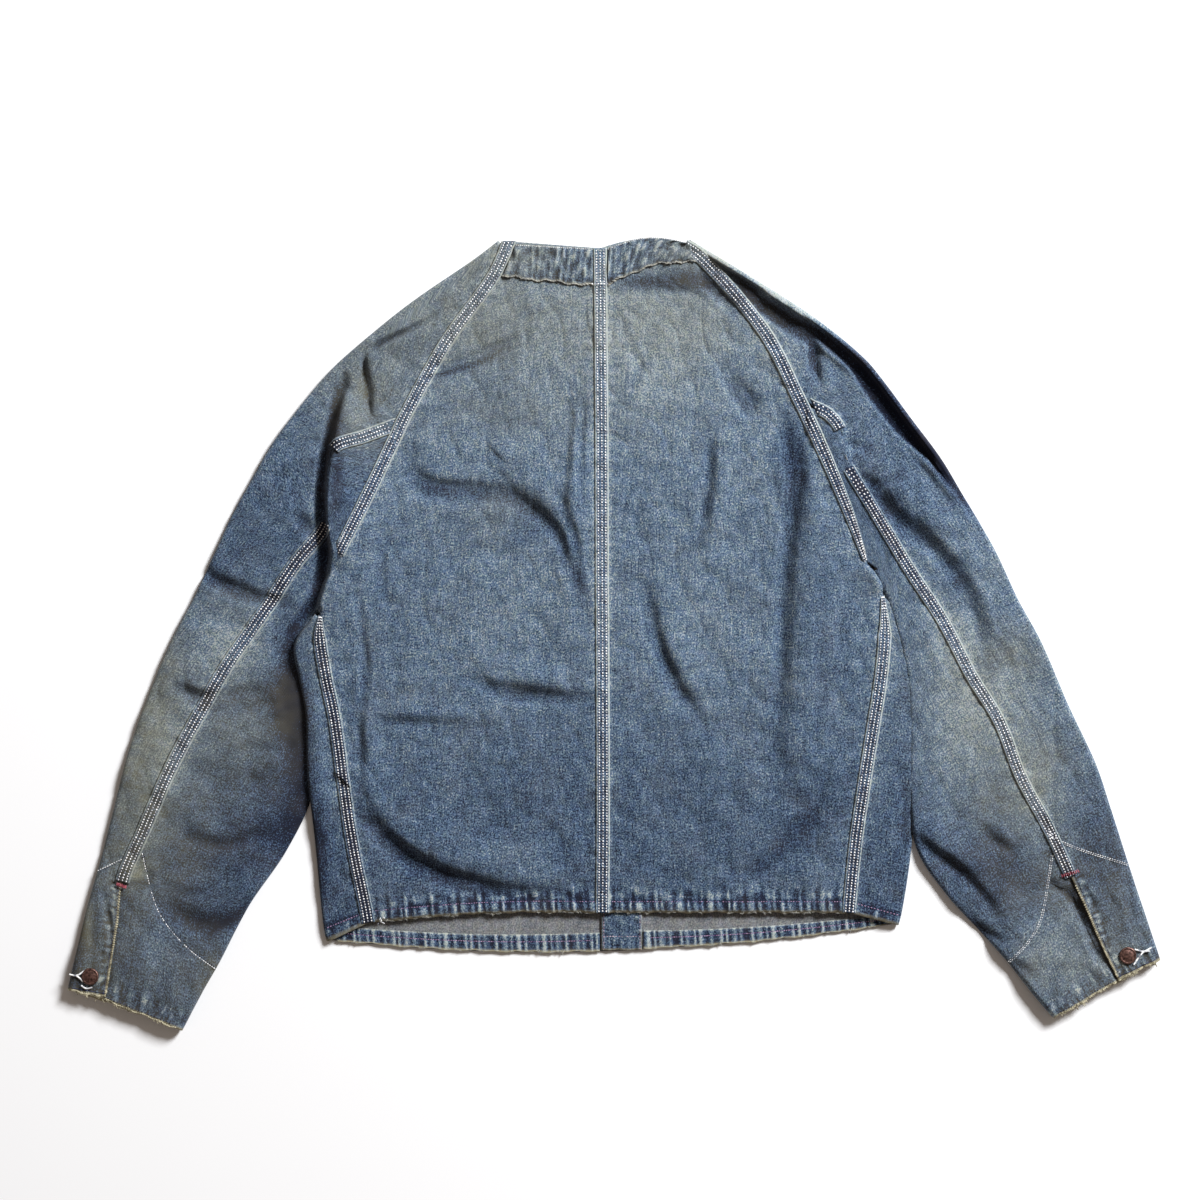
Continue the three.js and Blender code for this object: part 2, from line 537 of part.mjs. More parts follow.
// A sleeve: the raglan top piece rolls over the outer edge, the under piece over the inner one.
function buildSleeve(plan, label, lines) {
  const { side } = plan;
  const { raglan, sleeveTop, seam, outer, inner, lower, tubeRows, slitRows } = lines;
  const meeting = RAGLAN_STEPS[0] + RAGLAN_STEPS[1];
  const drop = (i) => (i <= slitRows ? LAP_DROP : 0);

  // The corner where the sleeve seam meets the raglan seam shares both directions.
  const above = raglan.slice(meeting);
  const corner = above[0].out.clone().add(seam[seam.length - 1].out).normalize();
  const topRail = [...seam, { ...above[0], out: corner }, ...above.slice(1)];

  const topRows = topRail.map((station, i) => {
    const { out } = outer[i];
    const start = outer[i].point.clone().addScaledVector(out, -EDGE_ROUND);
    const width = station.point.distanceTo(start);
    const half = i > seam.length - 1 ? FELL_HALF : SLEEVE_FELL_HALF;
    const first = beside(station, strip(half, width, NECK_STRIP));
    const across = between(first, start, SLEEVE_COLUMNS);
    const flats = [beside(station, SEAM_GAP / 2), first, ...across, start];
    const height = sleeveTop(start);
    const under = beside(lower[i], SEAM_GAP / 2);
    const tops = flats.map((flat) => onTop(flat, sleeveTop(flat)));
    return [...tops, ...roll(outer[i].point, out, height), onTop(under, 0)];
  });
  add(`sleeve_top_${label}`, shell(topRows, side * -1, { seamAt: (i, j) => j === 0 }), "sleeve");

  const underRows = seam.map((station, i) => {
    if (i < tubeRows) {
      const out = inner[i].out.clone().multiplyScalar(-1);
      const start = inner[i].point.clone().addScaledVector(out, -EDGE_ROUND);
      const width = station.point.distanceTo(start);
      const slit = i < slitRows;
      const edge = beside(station, slit ? LAP : -SEAM_GAP / 2);
      const first = beside(station, -strip(slit ? SLIT_STRIP : SLEEVE_FELL_HALF, width));
      const flats = [edge, first, ...between(first, start, SLEEVE_COLUMNS), start];
      const tops = flats.map((flat, k) => onTop(flat, sleeveTop(flat) - (k < 2 ? drop(i) : 0)));
      const under = beside(lower[i], -SEAM_GAP / 2);
      return [...tops, ...roll(inner[i].point, out, sleeveTop(start)), onTop(under, 0)];
    }
    const far = raglan[i - tubeRows];
    const width = station.point.distanceTo(far.point);
    const first = beside(station, -strip(SLEEVE_FELL_HALF, width));
    const last = beside(far, strip(FELL_HALF, width));
    const flats = [beside(station, -SEAM_GAP / 2), first, ...between(first, last, SLEEVE_COLUMNS - 1),
      last, beside(far, SEAM_GAP / 2)];
    return [...flats.map((flat) => onTop(flat, sleeveTop(flat))), null, null, null, null];
  });
  const underSeams = {
    seamAt: (i, j) => j === 0 || (i >= tubeRows && j === SLEEVE_COLUMNS + 1),
    crossed: (i, j) => i >= tubeRows && j === SLEEVE_COLUMNS,
  };
  add(`sleeve_under_${label}`, shell(underRows, side, underSeams), "sleeve");

  const stubAt = tubeRows - 1 + plan.stubStart;
  const fellTop = tubeRows - 1 + plan.sleeveFellTop;
  fell(`fell_sleeve_${label}`, seam.slice(slitRows, fellTop + 1), SLEEVE_FELL_HALF, sleeveTop);
  fell(`fell_stub_${label}`, seam.slice(stubAt), SLEEVE_FELL_HALF, sleeveTop, plan.stubSlant);

  // The cuff button: a domed cap with a rim, just above the flap.
  const centre = new THREE.Vector2(...plan.button);
  const profile = BUTTON.profile.map(([r, h]) => new THREE.Vector2(r, h));
  const cap = new THREE.LatheGeometry(profile, BUTTON.sides).rotateX(Math.PI / 2);
  const below = Array.from({ length: BUTTON.sides }, (_, k) => {
    const angle = (2 * Math.PI * k) / BUTTON.sides;
    const spoke = new THREE.Vector2(Math.cos(angle), Math.sin(angle));
    return sleeveTop(centre.clone().addScaledVector(spoke, BUTTON.radius));
  });
  const seat = Math.max(...below, sleeveTop(centre)) + BUTTON.clear;
  add(`button_${label}`, cap, "button").position.set(centre.x, centre.y, seat);
}

buildHalf(LEFT, "left");
buildHalf(RIGHT, "right");

// The middle seam's band, and the facing inside the front opening.
fell("fell_back", middleSeam(1), FELL_HALF, (flat) => heightAt(flat.x, flat.y, "body"));
const facingWidth = FACING.outer - FACING.inner;
const facingEnd = FRONT_HEM + SEAM_GAP;
const facing = new THREE.BoxGeometry(facingWidth, FACING.top - facingEnd, CLOTH);
add("front_facing", facing, "front").position.set(
  (FACING.outer + FACING.inner) / 2, (FACING.top + facingEnd) / 2, 2 * SEAM_GAP + 2.5 * CLOTH,
);

export default jacket;
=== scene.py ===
import random

import bmesh
import bpy
import numpy as np
from mathutils import Matrix, Vector


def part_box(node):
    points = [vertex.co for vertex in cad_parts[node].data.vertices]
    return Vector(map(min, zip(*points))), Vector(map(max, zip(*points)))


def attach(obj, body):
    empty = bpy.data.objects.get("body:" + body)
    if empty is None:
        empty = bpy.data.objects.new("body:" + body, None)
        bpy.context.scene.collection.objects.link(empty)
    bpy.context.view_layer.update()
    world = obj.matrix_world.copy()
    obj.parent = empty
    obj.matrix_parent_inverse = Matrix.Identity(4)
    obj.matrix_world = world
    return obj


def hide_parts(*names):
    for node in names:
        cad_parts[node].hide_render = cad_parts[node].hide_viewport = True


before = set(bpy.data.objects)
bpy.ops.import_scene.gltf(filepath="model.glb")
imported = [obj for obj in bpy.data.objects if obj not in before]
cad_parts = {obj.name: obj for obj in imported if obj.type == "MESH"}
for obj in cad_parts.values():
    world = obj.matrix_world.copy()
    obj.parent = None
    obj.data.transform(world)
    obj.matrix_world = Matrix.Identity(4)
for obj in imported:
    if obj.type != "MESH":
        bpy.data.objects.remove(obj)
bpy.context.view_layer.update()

# The jacket lies on its fronts, back up, as it was put down after years of wear. Its cloth is
# washed denim and keeps a ridge at each armpit, a rolled right shoulder and soft creases.
# A fold is a line of marks in mm (x, y, rise) and how wide it is to the left and the right.
MM = 0.001
CLOTH = 1.2
SEAM_GAP = 0.3
BODY_LOFT = 8.0
SLEEVE_LOFT = 9.0
LOWEST = 3.2
ARMPIT_FOLD = [(-272, 247, 1), (-280, 215, 10), (-286, 171, 13), (-285, 115, 14), (-280, 77, 14)]
BODY_FOLDS = [
    ([*ARMPIT_FOLD, (-292, 35, 11), (-321, -9, 6), (-322, -34, 4), (-312, -60, 0)], 75, 7),
    ([(-182, 256, -1), (-142, 272, -4), (-92, 296, -1)], 16, 16),
    ([(-206, 180, -1), (-196, 156, -4), (-176, 147, -5), (-104, 139, -3), (-40, 103, -1)], 14, 22),
    ([(-100, 165, 3), (-52, 112, 5), (-42, 20, 3), (-60, -40, 1)], 55, 24),
    ([(-40, 233, 1), (-36, 212, 4), (-42, 137, 4), (-42, 60, 1)], 26, 10),
    ([(-128, -38, 2), (-76, -46, 5), (-22, -54, 2)], 22, 12),
    ([(-226, -80, 2), (-176, -78, 4), (-124, -80, 1)], 20, 12),
    ([(-256, -50, 2), (-248, -100, 4), (-246, -155, 3)], 22, 10),
    ([(-258, -158, 3), (-208, -203, 6), (-132, -232, 6), (-54, -243, 2)], 46, 18),
    ([(51, 337, 0), (34, 295, -2), (16, 255, 0)], 12, 12),
    ([(109, 277, -1), (134, 231, -4)], 18, 18),
    ([(106, 186, 2), (100, 130, 4), (94, 82, 1)], 24, 14),
    ([(196, 196, 3), (202, 135, 7), (194, 75, 7), (188, -5, 7), (184, -140, 2)], 60, 24),
    ([(48, 30, 2), (64, -22, 4), (94, -72, 1)], 24, 14),
    ([(228, -153, -1), (196, -194, -3), (164, -237, -1)], 26, 26),
    ([(289, -140, -1), (290, -180, -3), (288, -220, -2)], 8, 10),
]
SLEEVE_FOLDS = [
    ([*ARMPIT_FOLD, (-288, 58, 0)], 75, 7),
    ([(-167, 316, 1), (-214, 300, 4), (-249, 280, 3)], 22, 26),
    ([(-251, 277, -1), (-247, 245, -4), (-243, 216, -1)], 9, 15),
    ([(-321, 122, -1), (-310, 112, -4), (-298, 99, -2)], 10, 10),
    ([(-402, 57, -2), (-378, 44, -4), (-352, 34, -1)], 14, 12),
    ([(-436, -54, -2), (-414, -68, -4), (-392, -76, -1)], 14, 12),
    ([(-404, -86, -1), (-372, -66, -4), (-332, -58, -2)], 18, 16),
    ([(-430, -128, -1), (-384, -148, -3), (-334, -146, -1)], 20, 20),
    ([(-454, -268, -1), (-410, -290, -5), (-364, -272, -2)], 18, 16),
    ([(-500, -345, 5), (-440, -372, 5)], 120, 120),
    ([(116, 364, 0), (148, 340, 9), (194, 310, 10), (236, 278, 10), (264, 250, 10),
      (304, 198, 9), (328, 164, 6), (369, 93, 3), (393, 40, 0)], 20, 16),
    ([(252, 160, 2), (292, 142, 5), (344, 82, 6), (384, 2, 3)], 30, 24),
    ([(198, 303, -1), (200, 280, -4), (199, 254, -1)], 12, 9),
    ([(222, 216, 3), (228, 190, 4), (234, 168, 2)], 8, 22),
    ([(306, -194, 3), (327, -211, 5), (350, -231, 6), (373, -256, 4), (398, -292, 2)], 34, 9),
    ([(500, -325, 5), (450, -355, 5)], 120, 120),
]
# Sharper and smaller creases.
BODY_CREASES = [
    ([(-190, 255, 0), (-176, 260, -9), (-150, 268, -8), (-126, 277, -6), (-98, 289, 0)], 4, 5),
    ([(84, 364, 0), (96, 351, -5), (112, 337, -5), (130, 318, -3), (142, 296, 0)], 5, 12),
    ([(-244, 115, 0), (-252, 90, -1.6), (-256, 62, 0)], 6, 8),
    ([(-96, 350, 0), (-88, 320, -1.0), (-84, 290, 0)], 8, 8),
    ([(-34, 345, 0), (-30, 300, -0.8), (-26, 262, 0)], 7, 7),
    ([(34, 352, 0), (60, 344, -1.4), (84, 348, 0)], 5, 6),
    ([(-150, 60, 0), (-120, 40, 1.2), (-96, 8, 0)], 12, 9),
    ([(-210, 20, 0), (-180, -6, 1.0), (-140, -14, 0)], 12, 9),
    ([(-160, -110, 0), (-120, -122, 1.2), (-70, -116, 0)], 13, 9),
    ([(30, -30, 0), (70, -40, -0.9), (120, -28, 0)], 9, 9),
    ([(110, 60, 0), (140, 44, 1.0), (176, 46, 0)], 11, 9),
    ([(20, -120, 0), (64, -128, 1.1), (120, -112, 0)], 14, 10),
    ([(130, -80, 0), (158, -104, -1.0), (176, -140, 0)], 10, 9),
    ([(40, 150, 0), (72, 132, 1.0), (90, 100, 0)], 11, 9),
    ([(150, 170, 0), (170, 120, -1.2), (176, 70, 0)], 10, 8),
    ([(-60, -180, 0), (-40, -205, 1.2), (-10, -214, 0)], 10, 8),
    ([(-290, -120, 0), (-284, -160, 1.2), (-276, -200, 0)], 9, 7),
    ([(-152, -42, 0), (-118, -58, -3.6), (-84, -64, -4.2), (-44, -66, -3.0), (-14, -66, 0)], 13, 9),
    ([(-252, -84, 0), (-206, -88, -1.8), (-150, -92, 0)], 10, 9),
    ([(-254, -160, 0), (-238, -190, -4.6), (-206, -222, -6.0), (-154, -248, -6.0),
      (-98, -260, -3.0), (-60, -262, 0)], 13, 18),
    ([(188, -150, 0), (168, -212, -2.4), (112, -256, 0)], 16, 16),
    ([(-210, 168, 0), (-190, 150, -3.4), (-150, 144, -3.0), (-108, 138, -3.6), (-74, 120, -4.2),
      (-54, 96, -4.6), (-42, 60, -3.0), (-26, 34, 0)], 9, 12),
    ([(-60, 150, 0), (-46, 118, -2.6), (-38, 84, -3.2), (-36, 40, 0)], 8, 8),
    ([(-120, 84, 0), (-150, 30, 1.4), (-158, -20, 0)], 20, 16),
    ([(166, 238, 0), (176, 190, -4.0), (177, 130, -4.4), (170, 60, -3.6), (166, -40, -3.2),
      (160, -130, 0)], 13, 11),
    ([(196, 240, 0), (186, 190, -3.0), (188, 160, -3.4), (184, 120, 0)], 8, 6),
    ([(96, 206, 0), (92, 150, -1.8), (88, 92, 0)], 10, 10),
    ([(20, 70, 0), (34, 36, -2.6), (42, -5, -3.6), (61, -50, -3.6), (84, -84, -2.0),
      (98, -110, 0)], 10, 12),
    ([(106, 268, 0), (128, 236, -3.0), (138, 214, 0)], 14, 12),
    ([(-8, 330, 0), (14, 296, -1.4), (24, 262, -1.8), (8, 236, 0)], 9, 8),
    ([(-206, 300, 0), (-174, 268, -2.6), (-140, 276, -2.8), (-92, 300, 0)], 9, 8),
    ([(-28, 245, 0), (-32, 214, -2.4), (-33, 150, -2.0), (-30, 110, 0)], 6, 7),
    ([(94, 210, 0), (97, 170, -2.6), (93, 128, -2.0), (84, 92, 0)], 9, 8),
    ([(-262, 60, 0), (-254, 20, -2.6), (-250, -40, -3.0), (-254, -90, -3.2), (-250, -150, 0)], 8, 7),
    ([(-206, 126, 0), (-230, 92, -2.0), (-232, 50, -2.0), (-220, 18, 0)], 8, 8),
    ([(204, 0, 0), (206, -60, -1.8), (200, -130, 0)], 9, 9),
    ([(240, 60, 0), (228, 10, -1.6), (232, -60, 0)], 9, 9),
    ([(30, 150, 0), (22, 118, -1.4), (34, 84, 0)], 9, 9),
    ([(216, -130, 0), (196, -184, -3.0), (158, -228, -2.4), (110, -246, 0)], 12, 20),
    ([(-310, -48, 0), (-299, -90, 3.6), (-297, -140, 3.8), (-292, -190, 3.0), (-288, -236, 0)],
     14, 14),
]
SLEEVE_CREASES = [
    ([(-318, 116, 0), (-308, 100, -1.2), (-296, 92, 0)], 5, 6),
    ([(-300, 190, 0), (-322, 168, 1.4), (-334, 140, 0)], 12, 9),
    ([(-390, 92, 0), (-360, 96, -1.3), (-330, 84, 0)], 9, 9),
    ([(-440, -6, 0), (-410, 8, 1.6), (-378, 2, 0)], 14, 9),
    ([(-462, -96, 0), (-440, -100, 1.3), (-420, -112, 0)], 11, 8),
    ([(-400, -118, 0), (-360, -104, 1.6), (-326, -112, 0)], 13, 9),
    ([(-470, -150, 0), (-444, -170, -1.4), (-424, -196, 0)], 9, 9),
    ([(-416, -196, 0), (-380, -204, 1.8), (-346, -186, 0)], 13, 9),
    ([(-452, -236, 0), (-430, -250, 1.6), (-396, -246, 0)], 11, 9),
    ([(-405, -309, 0), (-402, -298, -2.2), (-372, -276, 0)], 6, 7),
    ([(-480, -300, 0), (-466, -330, 1.6), (-462, -366, 0)], 9, 10),
    ([(-430, -318, 0), (-420, -344, 1.4), (-424, -374, 0)], 9, 9),
    ([(-520, -250, 0), (-514, -290, 1.2), (-522, -320, 0)], 8, 8),
    ([(282, 222, 0), (300, 196, -1.6), (312, 168, 0)], 10, 9),
    ([(330, 132, 0), (352, 96, 1.4), (366, 54, 0)], 10, 9),
    ([(300, 20, 0), (322, -22, 1.2), (330, -60, 0)], 11, 9),
    ([(372, 10, 0), (392, -22, -1.3), (404, -60, 0)], 9, 9),
    ([(318, -96, 0), (348, -120, 1.3), (372, -156, 0)], 13, 9),
    ([(420, -60, 0), (444, -88, 1.2), (452, -120, 0)], 10, 9),
    ([(346, -170, 0), (380, -190, 1.5), (402, -220, 0)], 12, 9),
    ([(402, -176, 0), (426, -200, -1.4), (438, -232, 0)], 9, 9),
    ([(430, -262, 0), (400, -286, 1.6), (388, -306, 0)], 9, 10),
    ([(452, -250, 0), (474, -262, -2.4), (486, -290, 0)], 7, 8),
    ([(440, -330, 0), (470, -326, 1.2), (486, -344, 0)], 9, 9),
    ([(500, -236, 0), (506, -270, 1.3), (520, -296, 0)], 9, 9),
    ([(108, 372, 0), (132, 349, -14), (149, 331, -20), (168, 319, -22), (184, 309, -22),
      (197, 306, -17), (239, 272, -17), (250, 255, -22), (286, 208, -24), (303, 193, -22),
      (320, 180, -13), (348, 142, -6), (374, 96, 0)], 12, 8),
    ([(346, -272, 0), (358, -285, -5), (374, -298, -6), (392, -307, 0)], 6, 8),
    ([(-266, 264, 0), (-276, 240, -11), (-285, 200, -13), (-293, 150, -12), (-293, 112, -12),
      (-291, 77, -12), (-301, 38, -12), (-322, 4, -10), (-334, -24, 0)], 9, 8),
    ([(-320, 30, 0), (-324, -10, -6), (-318, -50, -7), (-313, -110, -7), (-314, -160, -7),
      (-326, -200, -5), (-338, -226, 0)], 20, 26),
    ([(-414, 72, 0), (-400, 56, -4.0), (-372, 42, -4.6), (-344, 34, -4.0), (-318, 34, 0)], 10, 12),
    ([(-428, 84, 0), (-416, 66, -2.6), (-398, 58, 0)], 8, 8),
    ([(-444, -48, 0), (-424, -58, -3.2), (-392, -60, -2.6), (-352, -52, 0)], 8, 10),
    ([(-396, -90, 0), (-372, -78, -3.4), (-344, -70, -3.0), (-316, -74, 0)], 9, 9),
    ([(-478, -150, 0), (-452, -176, -2.2), (-440, -206, 0)], 8, 8),
    ([(-436, -196, 0), (-404, -210, -3.4), (-366, -204, -3.6), (-334, -192, 0)], 12, 12),
    ([(-520, -300, 0), (-536, -330, 2.4), (-540, -352, 0)], 10, 10),
    ([(-398, -330, 0), (-406, -350, -2.8), (-410, -372, 0)], 8, 8),
    ([(-420, -316, 0), (-440, -350, 2.6), (-452, -378, 0)], 10, 12),
    ([(-150, 352, 0), (-134, 364, -3.0), (-120, 372, 0)], 4, 4),
    ([(-176, 334, 0), (-150, 348, 1.8), (-128, 366, 0)], 5, 5),
    ([(232, 172, 0), (258, 146, -4.0), (280, 118, -4.6), (316, 90, -4.4), (346, 56, -4.2),
      (366, 10, -3.0), (374, -20, 0)], 14, 13),
    ([(236, 166, 0), (262, 150, -2.6), (286, 156, -2.4), (306, 134, 0)], 7, 6),
    ([(300, -200, 0), (322, -216, -3.6), (346, -232, -4.4), (368, -256, -4.0), (392, -288, 0)], 7, 11),
    ([(366, -190, 0), (380, -206, -3.4), (396, -216, -3.0), (404, -230, 0)], 9, 9),
    ([(420, -178, 0), (438, -196, -3.0), (452, -222, 0)], 8, 8),
    ([(450, -238, 0), (457, -259, -4.5), (473, -292, -5.5), (484, -318, -5), (497, -340, 0)], 4, 8),
    ([(-471, -219, 0), (-466, -242, -1.3), (-457, -272, -1.3), (-448, -288, -1.3),
      (-424, -314, -1.3), (-397, -334, 0)], 4, 4),
    ([(-462, -222, 0), (-458, -242, 1.4), (-450, -268, 1.4), (-440, -284, 1.4), (-418, -306, 1.4),
      (-392, -326, 0)], 5, 5),
    ([(438, -221, 0), (435, -244, -1.3), (430, -272, -1.3), (426, -287, -1.3), (414, -307, -1.3),
      (395, -327, 0)], 4, 4),
    ([(429, -222, 0), (427, -244, 1.4), (422, -268, 1.4), (416, -284, 1.4), (405, -300, 1.4),
      (388, -318, 0)], 5, 5),
    ([(-405, -312, 0), (-405, -300, -6.0), (-388, -288, -6.4), (-368, -275, 0)], 4, 4),
    ([(434, -243, 0), (443, -252, -5), (456, -261, -6.5), (467, -272, -5), (474, -292, 0)], 5, 7),
    ([(-452, -268, 0), (-430, -282, -4.2), (-410, -290, -5.0), (-384, -286, -4.4),
      (-364, -272, 0)], 7, 10),
    ([(-512, -252, 0), (-506, -282, -2.0), (-504, -312, -2.0), (-508, -336, 0)], 5, 5),
    ([(380, -320, 0), (404, -332, -3.6), (424, -346, 0)], 9, 9),
    ([(476, -300, 0), (452, -330, 2.2), (440, -352, 0)], 13, 12),
    ([(528, -230, 0), (516, -262, -2.6), (520, -300, 0)], 7, 7),
    ([(-249, 288, 0), (-250, 266, -7), (-246, 238, -7), (-243, 214, 0)], 3.5, 5),
    ([(-250, 280, 0), (-236, 290, -8.5), (-214, 301, -8), (-188, 314, -4), (-160, 330, 0)], 4, 5),
    ([(112, 362, 0), (134, 342, -12), (152, 326, -16), (172, 311, -16), (190, 300, -12),
      (204, 290, 0)], 7, 10),
    ([(190, 306, 0), (239, 272, -12), (262, 247, -14), (286, 214, -14), (306, 190, -10), (331, 160, -6),
      (350, 136, -3), (374, 96, 0)], 14, 8),
    ([(192, 308, 0), (196, 298, -9), (199, 284, -9), (203, 264, -5), (207, 246, 0)], 4, 5),
    ([(200, 304, 0), (198, 280, -4.4), (204, 252, 0)], 9, 8),
    ([(222, 186, 0), (240, 190, -2.6), (262, 178, 0)], 7, 7),
]


# A smooth line through marks, with so many rows to each stretch between two marks. A line is
# its rows and the points there.
def trace(marks, steps, first=0, fine=16):
    marks = np.array(marks, float)
    ends = np.vstack([2 * marks[0] - marks[1], marks, 2 * marks[-1] - marks[-2]])
    rows, points = [first], [marks[0]]
    for k, count in enumerate(steps):
        p0, p1, p2, p3 = ends[k:k + 4]
        d0, d1, d2 = [np.hypot(*(b - a)[:2]) ** 0.5 for a, b in ((p0, p1), (p1, p2), (p2, p3))]
        m1 = ((p1 - p0) / d0 - (p2 - p0) / (d0 + d1) + (p2 - p1) / d1) * d1
        m2 = ((p2 - p1) / d1 - (p3 - p1) / (d1 + d2) + (p3 - p2) / d2) * d1
        for t in np.linspace(0, 1, fine + 1)[1:]:
            points.append(p1 + m1 * t + (3 * (p2 - p1) - 2 * m1 - m2) * t ** 2
                          + (2 * (p1 - p2) + m1 + m2) * t ** 3)
            rows.append(first + count * t)
        first += count
    return np.array(rows), np.array(points)


# Several lines as one.
def joined(*lines):
    return np.concatenate([line[0] for line in lines]), np.vstack([line[1] for line in lines])


# The point of a line at a row.
def at(line, row):
    return np.stack([np.interp(row, line[0], line[1][:, k]) for k in (0, 1)], -1)


# The direction away from the middle of the jacket, square to a line.
def out_of(line, row, side, reach=0.25):
    ahead = at(line, row + reach) - at(line, row - reach)
    ahead /= np.maximum(np.linalg.norm(ahead, axis=-1, keepdims=True), 1e-9)
    return np.stack([side * ahead[..., 1], -side * ahead[..., 0]], -1)


# How much one fold lifts the cloth at each point, from the nearest place on its line.
def lift_of(line, left, right, x, y):
    all_lifts = np.zeros(np.shape(x))
    reach = max(left, right)
    low, high = line[:, :2].min(0) - reach, line[:, :2].max(0) + reach
    near = (x > low[0]) & (x < high[0]) & (y > low[1]) & (y < high[1])
    x, y = x[near], y[near]
    nearest = np.full(x.shape, np.inf)
    lift = np.zeros(x.shape)
    for (ax, ay, a), (bx, by, b) in zip(line[:-1], line[1:]):
        ux, uy = bx - ax, by - ay
        t = np.clip(((x - ax) * ux + (y - ay) * uy) / (ux * ux + uy * uy), 0, 1)
        away = np.hypot(x - ax - t * ux, y - ay - t * uy)
        width = np.where(ux * (y - ay) - uy * (x - ax) > 0, left, right)
        share = np.minimum(1, away / width)
        closer = away < nearest
        lift = np.where(closer, (a + t * (b - a)) * (1 - share ** 2) ** 2, lift)
        nearest = np.where(closer, away, nearest)
    all_lifts[near] = lift
    return all_lifts


FOLDS = {"body": BODY_FOLDS + BODY_CREASES, "sleeve": SLEEVE_FOLDS + SLEEVE_CREASES}
for cloth, folds in FOLDS.items():
    FOLDS[cloth] = [(trace(marks, [1] * (len(marks) - 1), fine=4)[1], left, right)
                    for marks, left, right in folds]


# Soft unevenness of worn cloth: many long waves laid across each other.
def unevenness(x, y, length, seed, waves=9):
    draw = random.Random(seed)
    total = np.zeros(np.shape(x))
    for _ in range(waves):
        angle = draw.uniform(0, np.pi)
        pace = 2 * np.pi / (length * draw.uniform(0.7, 1.5))
        shift = draw.uniform(0, 2 * np.pi)
        total += np.sin(pace * (x * np.cos(angle) + y * np.sin(angle)) + shift)
    return total / 3


# Three soft shapes: a bell round a centre, a share that falls from 1 to 0 at an edge, and how
# far a value has come from low to high.
def near(value, centre, wide):
    return np.exp(-((value - centre) / wide) ** 2)


def up_to(value, edge, soft):
    return 1 / (1 + np.exp((value - edge) / soft))


def part_of(value, low, high):
    return np.clip((value - low) / (high - low), 0, 1)


# Irregular ridges and pits along a seam, from -1 to 1, about one for each pitch.
def rope(along, pitch, seed=0.0):
    turn = 2 * np.pi * along / pitch
    drift = 1.2 * np.sin(0.21 * turn + seed) + 0.9 * np.sin(0.57 * turn + 2.1 * seed)
    return (0.75 + 0.25 * np.sin(0.33 * turn + 1.7 * seed)) * np.sin(turn + drift)


# What each fold of a cloth lifts.
def lifts_of(x, y, cloth):
    return [lift_of(*fold, x, y) for fold in FOLDS[cloth]]


# Puckers beside a sewn edge: narrow pale ridges with broad dark blocks between them.
def puckers(waves):
    return 0.65 * waves + 0.75 * np.exp((waves - 1) * 2) - 0.25


# The upper side of the cloth: its loft, its folds, soft swells and fine fold lines. A swell or
# fold line is how much it rises or falls, how long it is and its draw.
LOFT = {"body": BODY_LOFT, "sleeve": SLEEVE_LOFT}
SWELLS = [(0.6, 72, 3), (0.4, 34, 5), (0.1, 13, 8)]
FOLD_LINES = [(1.2, 58, 12), (0.7, 27, 15)]
FOLD_SHARPNESS = 2.6


def height(x, y, cloth):
    rise = sum(lifts_of(x, y, cloth))
    uneven = sum(much * unevenness(x, y, long, seed) for much, long, seed in SWELLS)
    folded = sum(much * np.exp(-np.abs(unevenness(x, y, long, seed)) * FOLD_SHARPNESS)
                 for much, long, seed in FOLD_LINES)
    return np.maximum(LOWEST, LOFT[cloth] + rise + uneven - folded)


# The back is two halves of denim joined down the middle. A half's outer side runs up the side
# seam, rolls over the armpit and follows the raglan seam to the neck. Rows count up the piece.
# A list of steps is how many rows lie between one mark and the next.
BODY_STEPS = [1, 3, 3, 3, 2, 2, 1]
RAGLAN_STEPS = [5, 1, 7, 2]
FRONT_RAGLAN_STEPS = [1, 3, 3, 4, 3, 2]
ARMPIT_STEPS = 3
SIDE_TOP = sum(BODY_STEPS)
RAGLAN_FOOT = SIDE_TOP + ARMPIT_STEPS
NECK_ROW = RAGLAN_FOOT + sum(RAGLAN_STEPS)
BAND_ROW = NECK_ROW - RAGLAN_STEPS[-1]
FELL_HALF = 7
RAGLAN_BLEND = 30  # how far beyond its band a raglan seam's height reaches
MIDDLE = [
    (-11.5, -278), (-11.5, -266), (-11, -203), (-11, -140), (-11.2, -75), (-11.4, -35),
    (-11.6, 10), (-11.8, 35), (-12, 92), (-12.4, 210), (-12.5, 220), (-13.6, 349), (-14, 387),
]
middle = trace(MIDDLE, [*BODY_STEPS, ARMPIT_STEPS, *RAGLAN_STEPS])
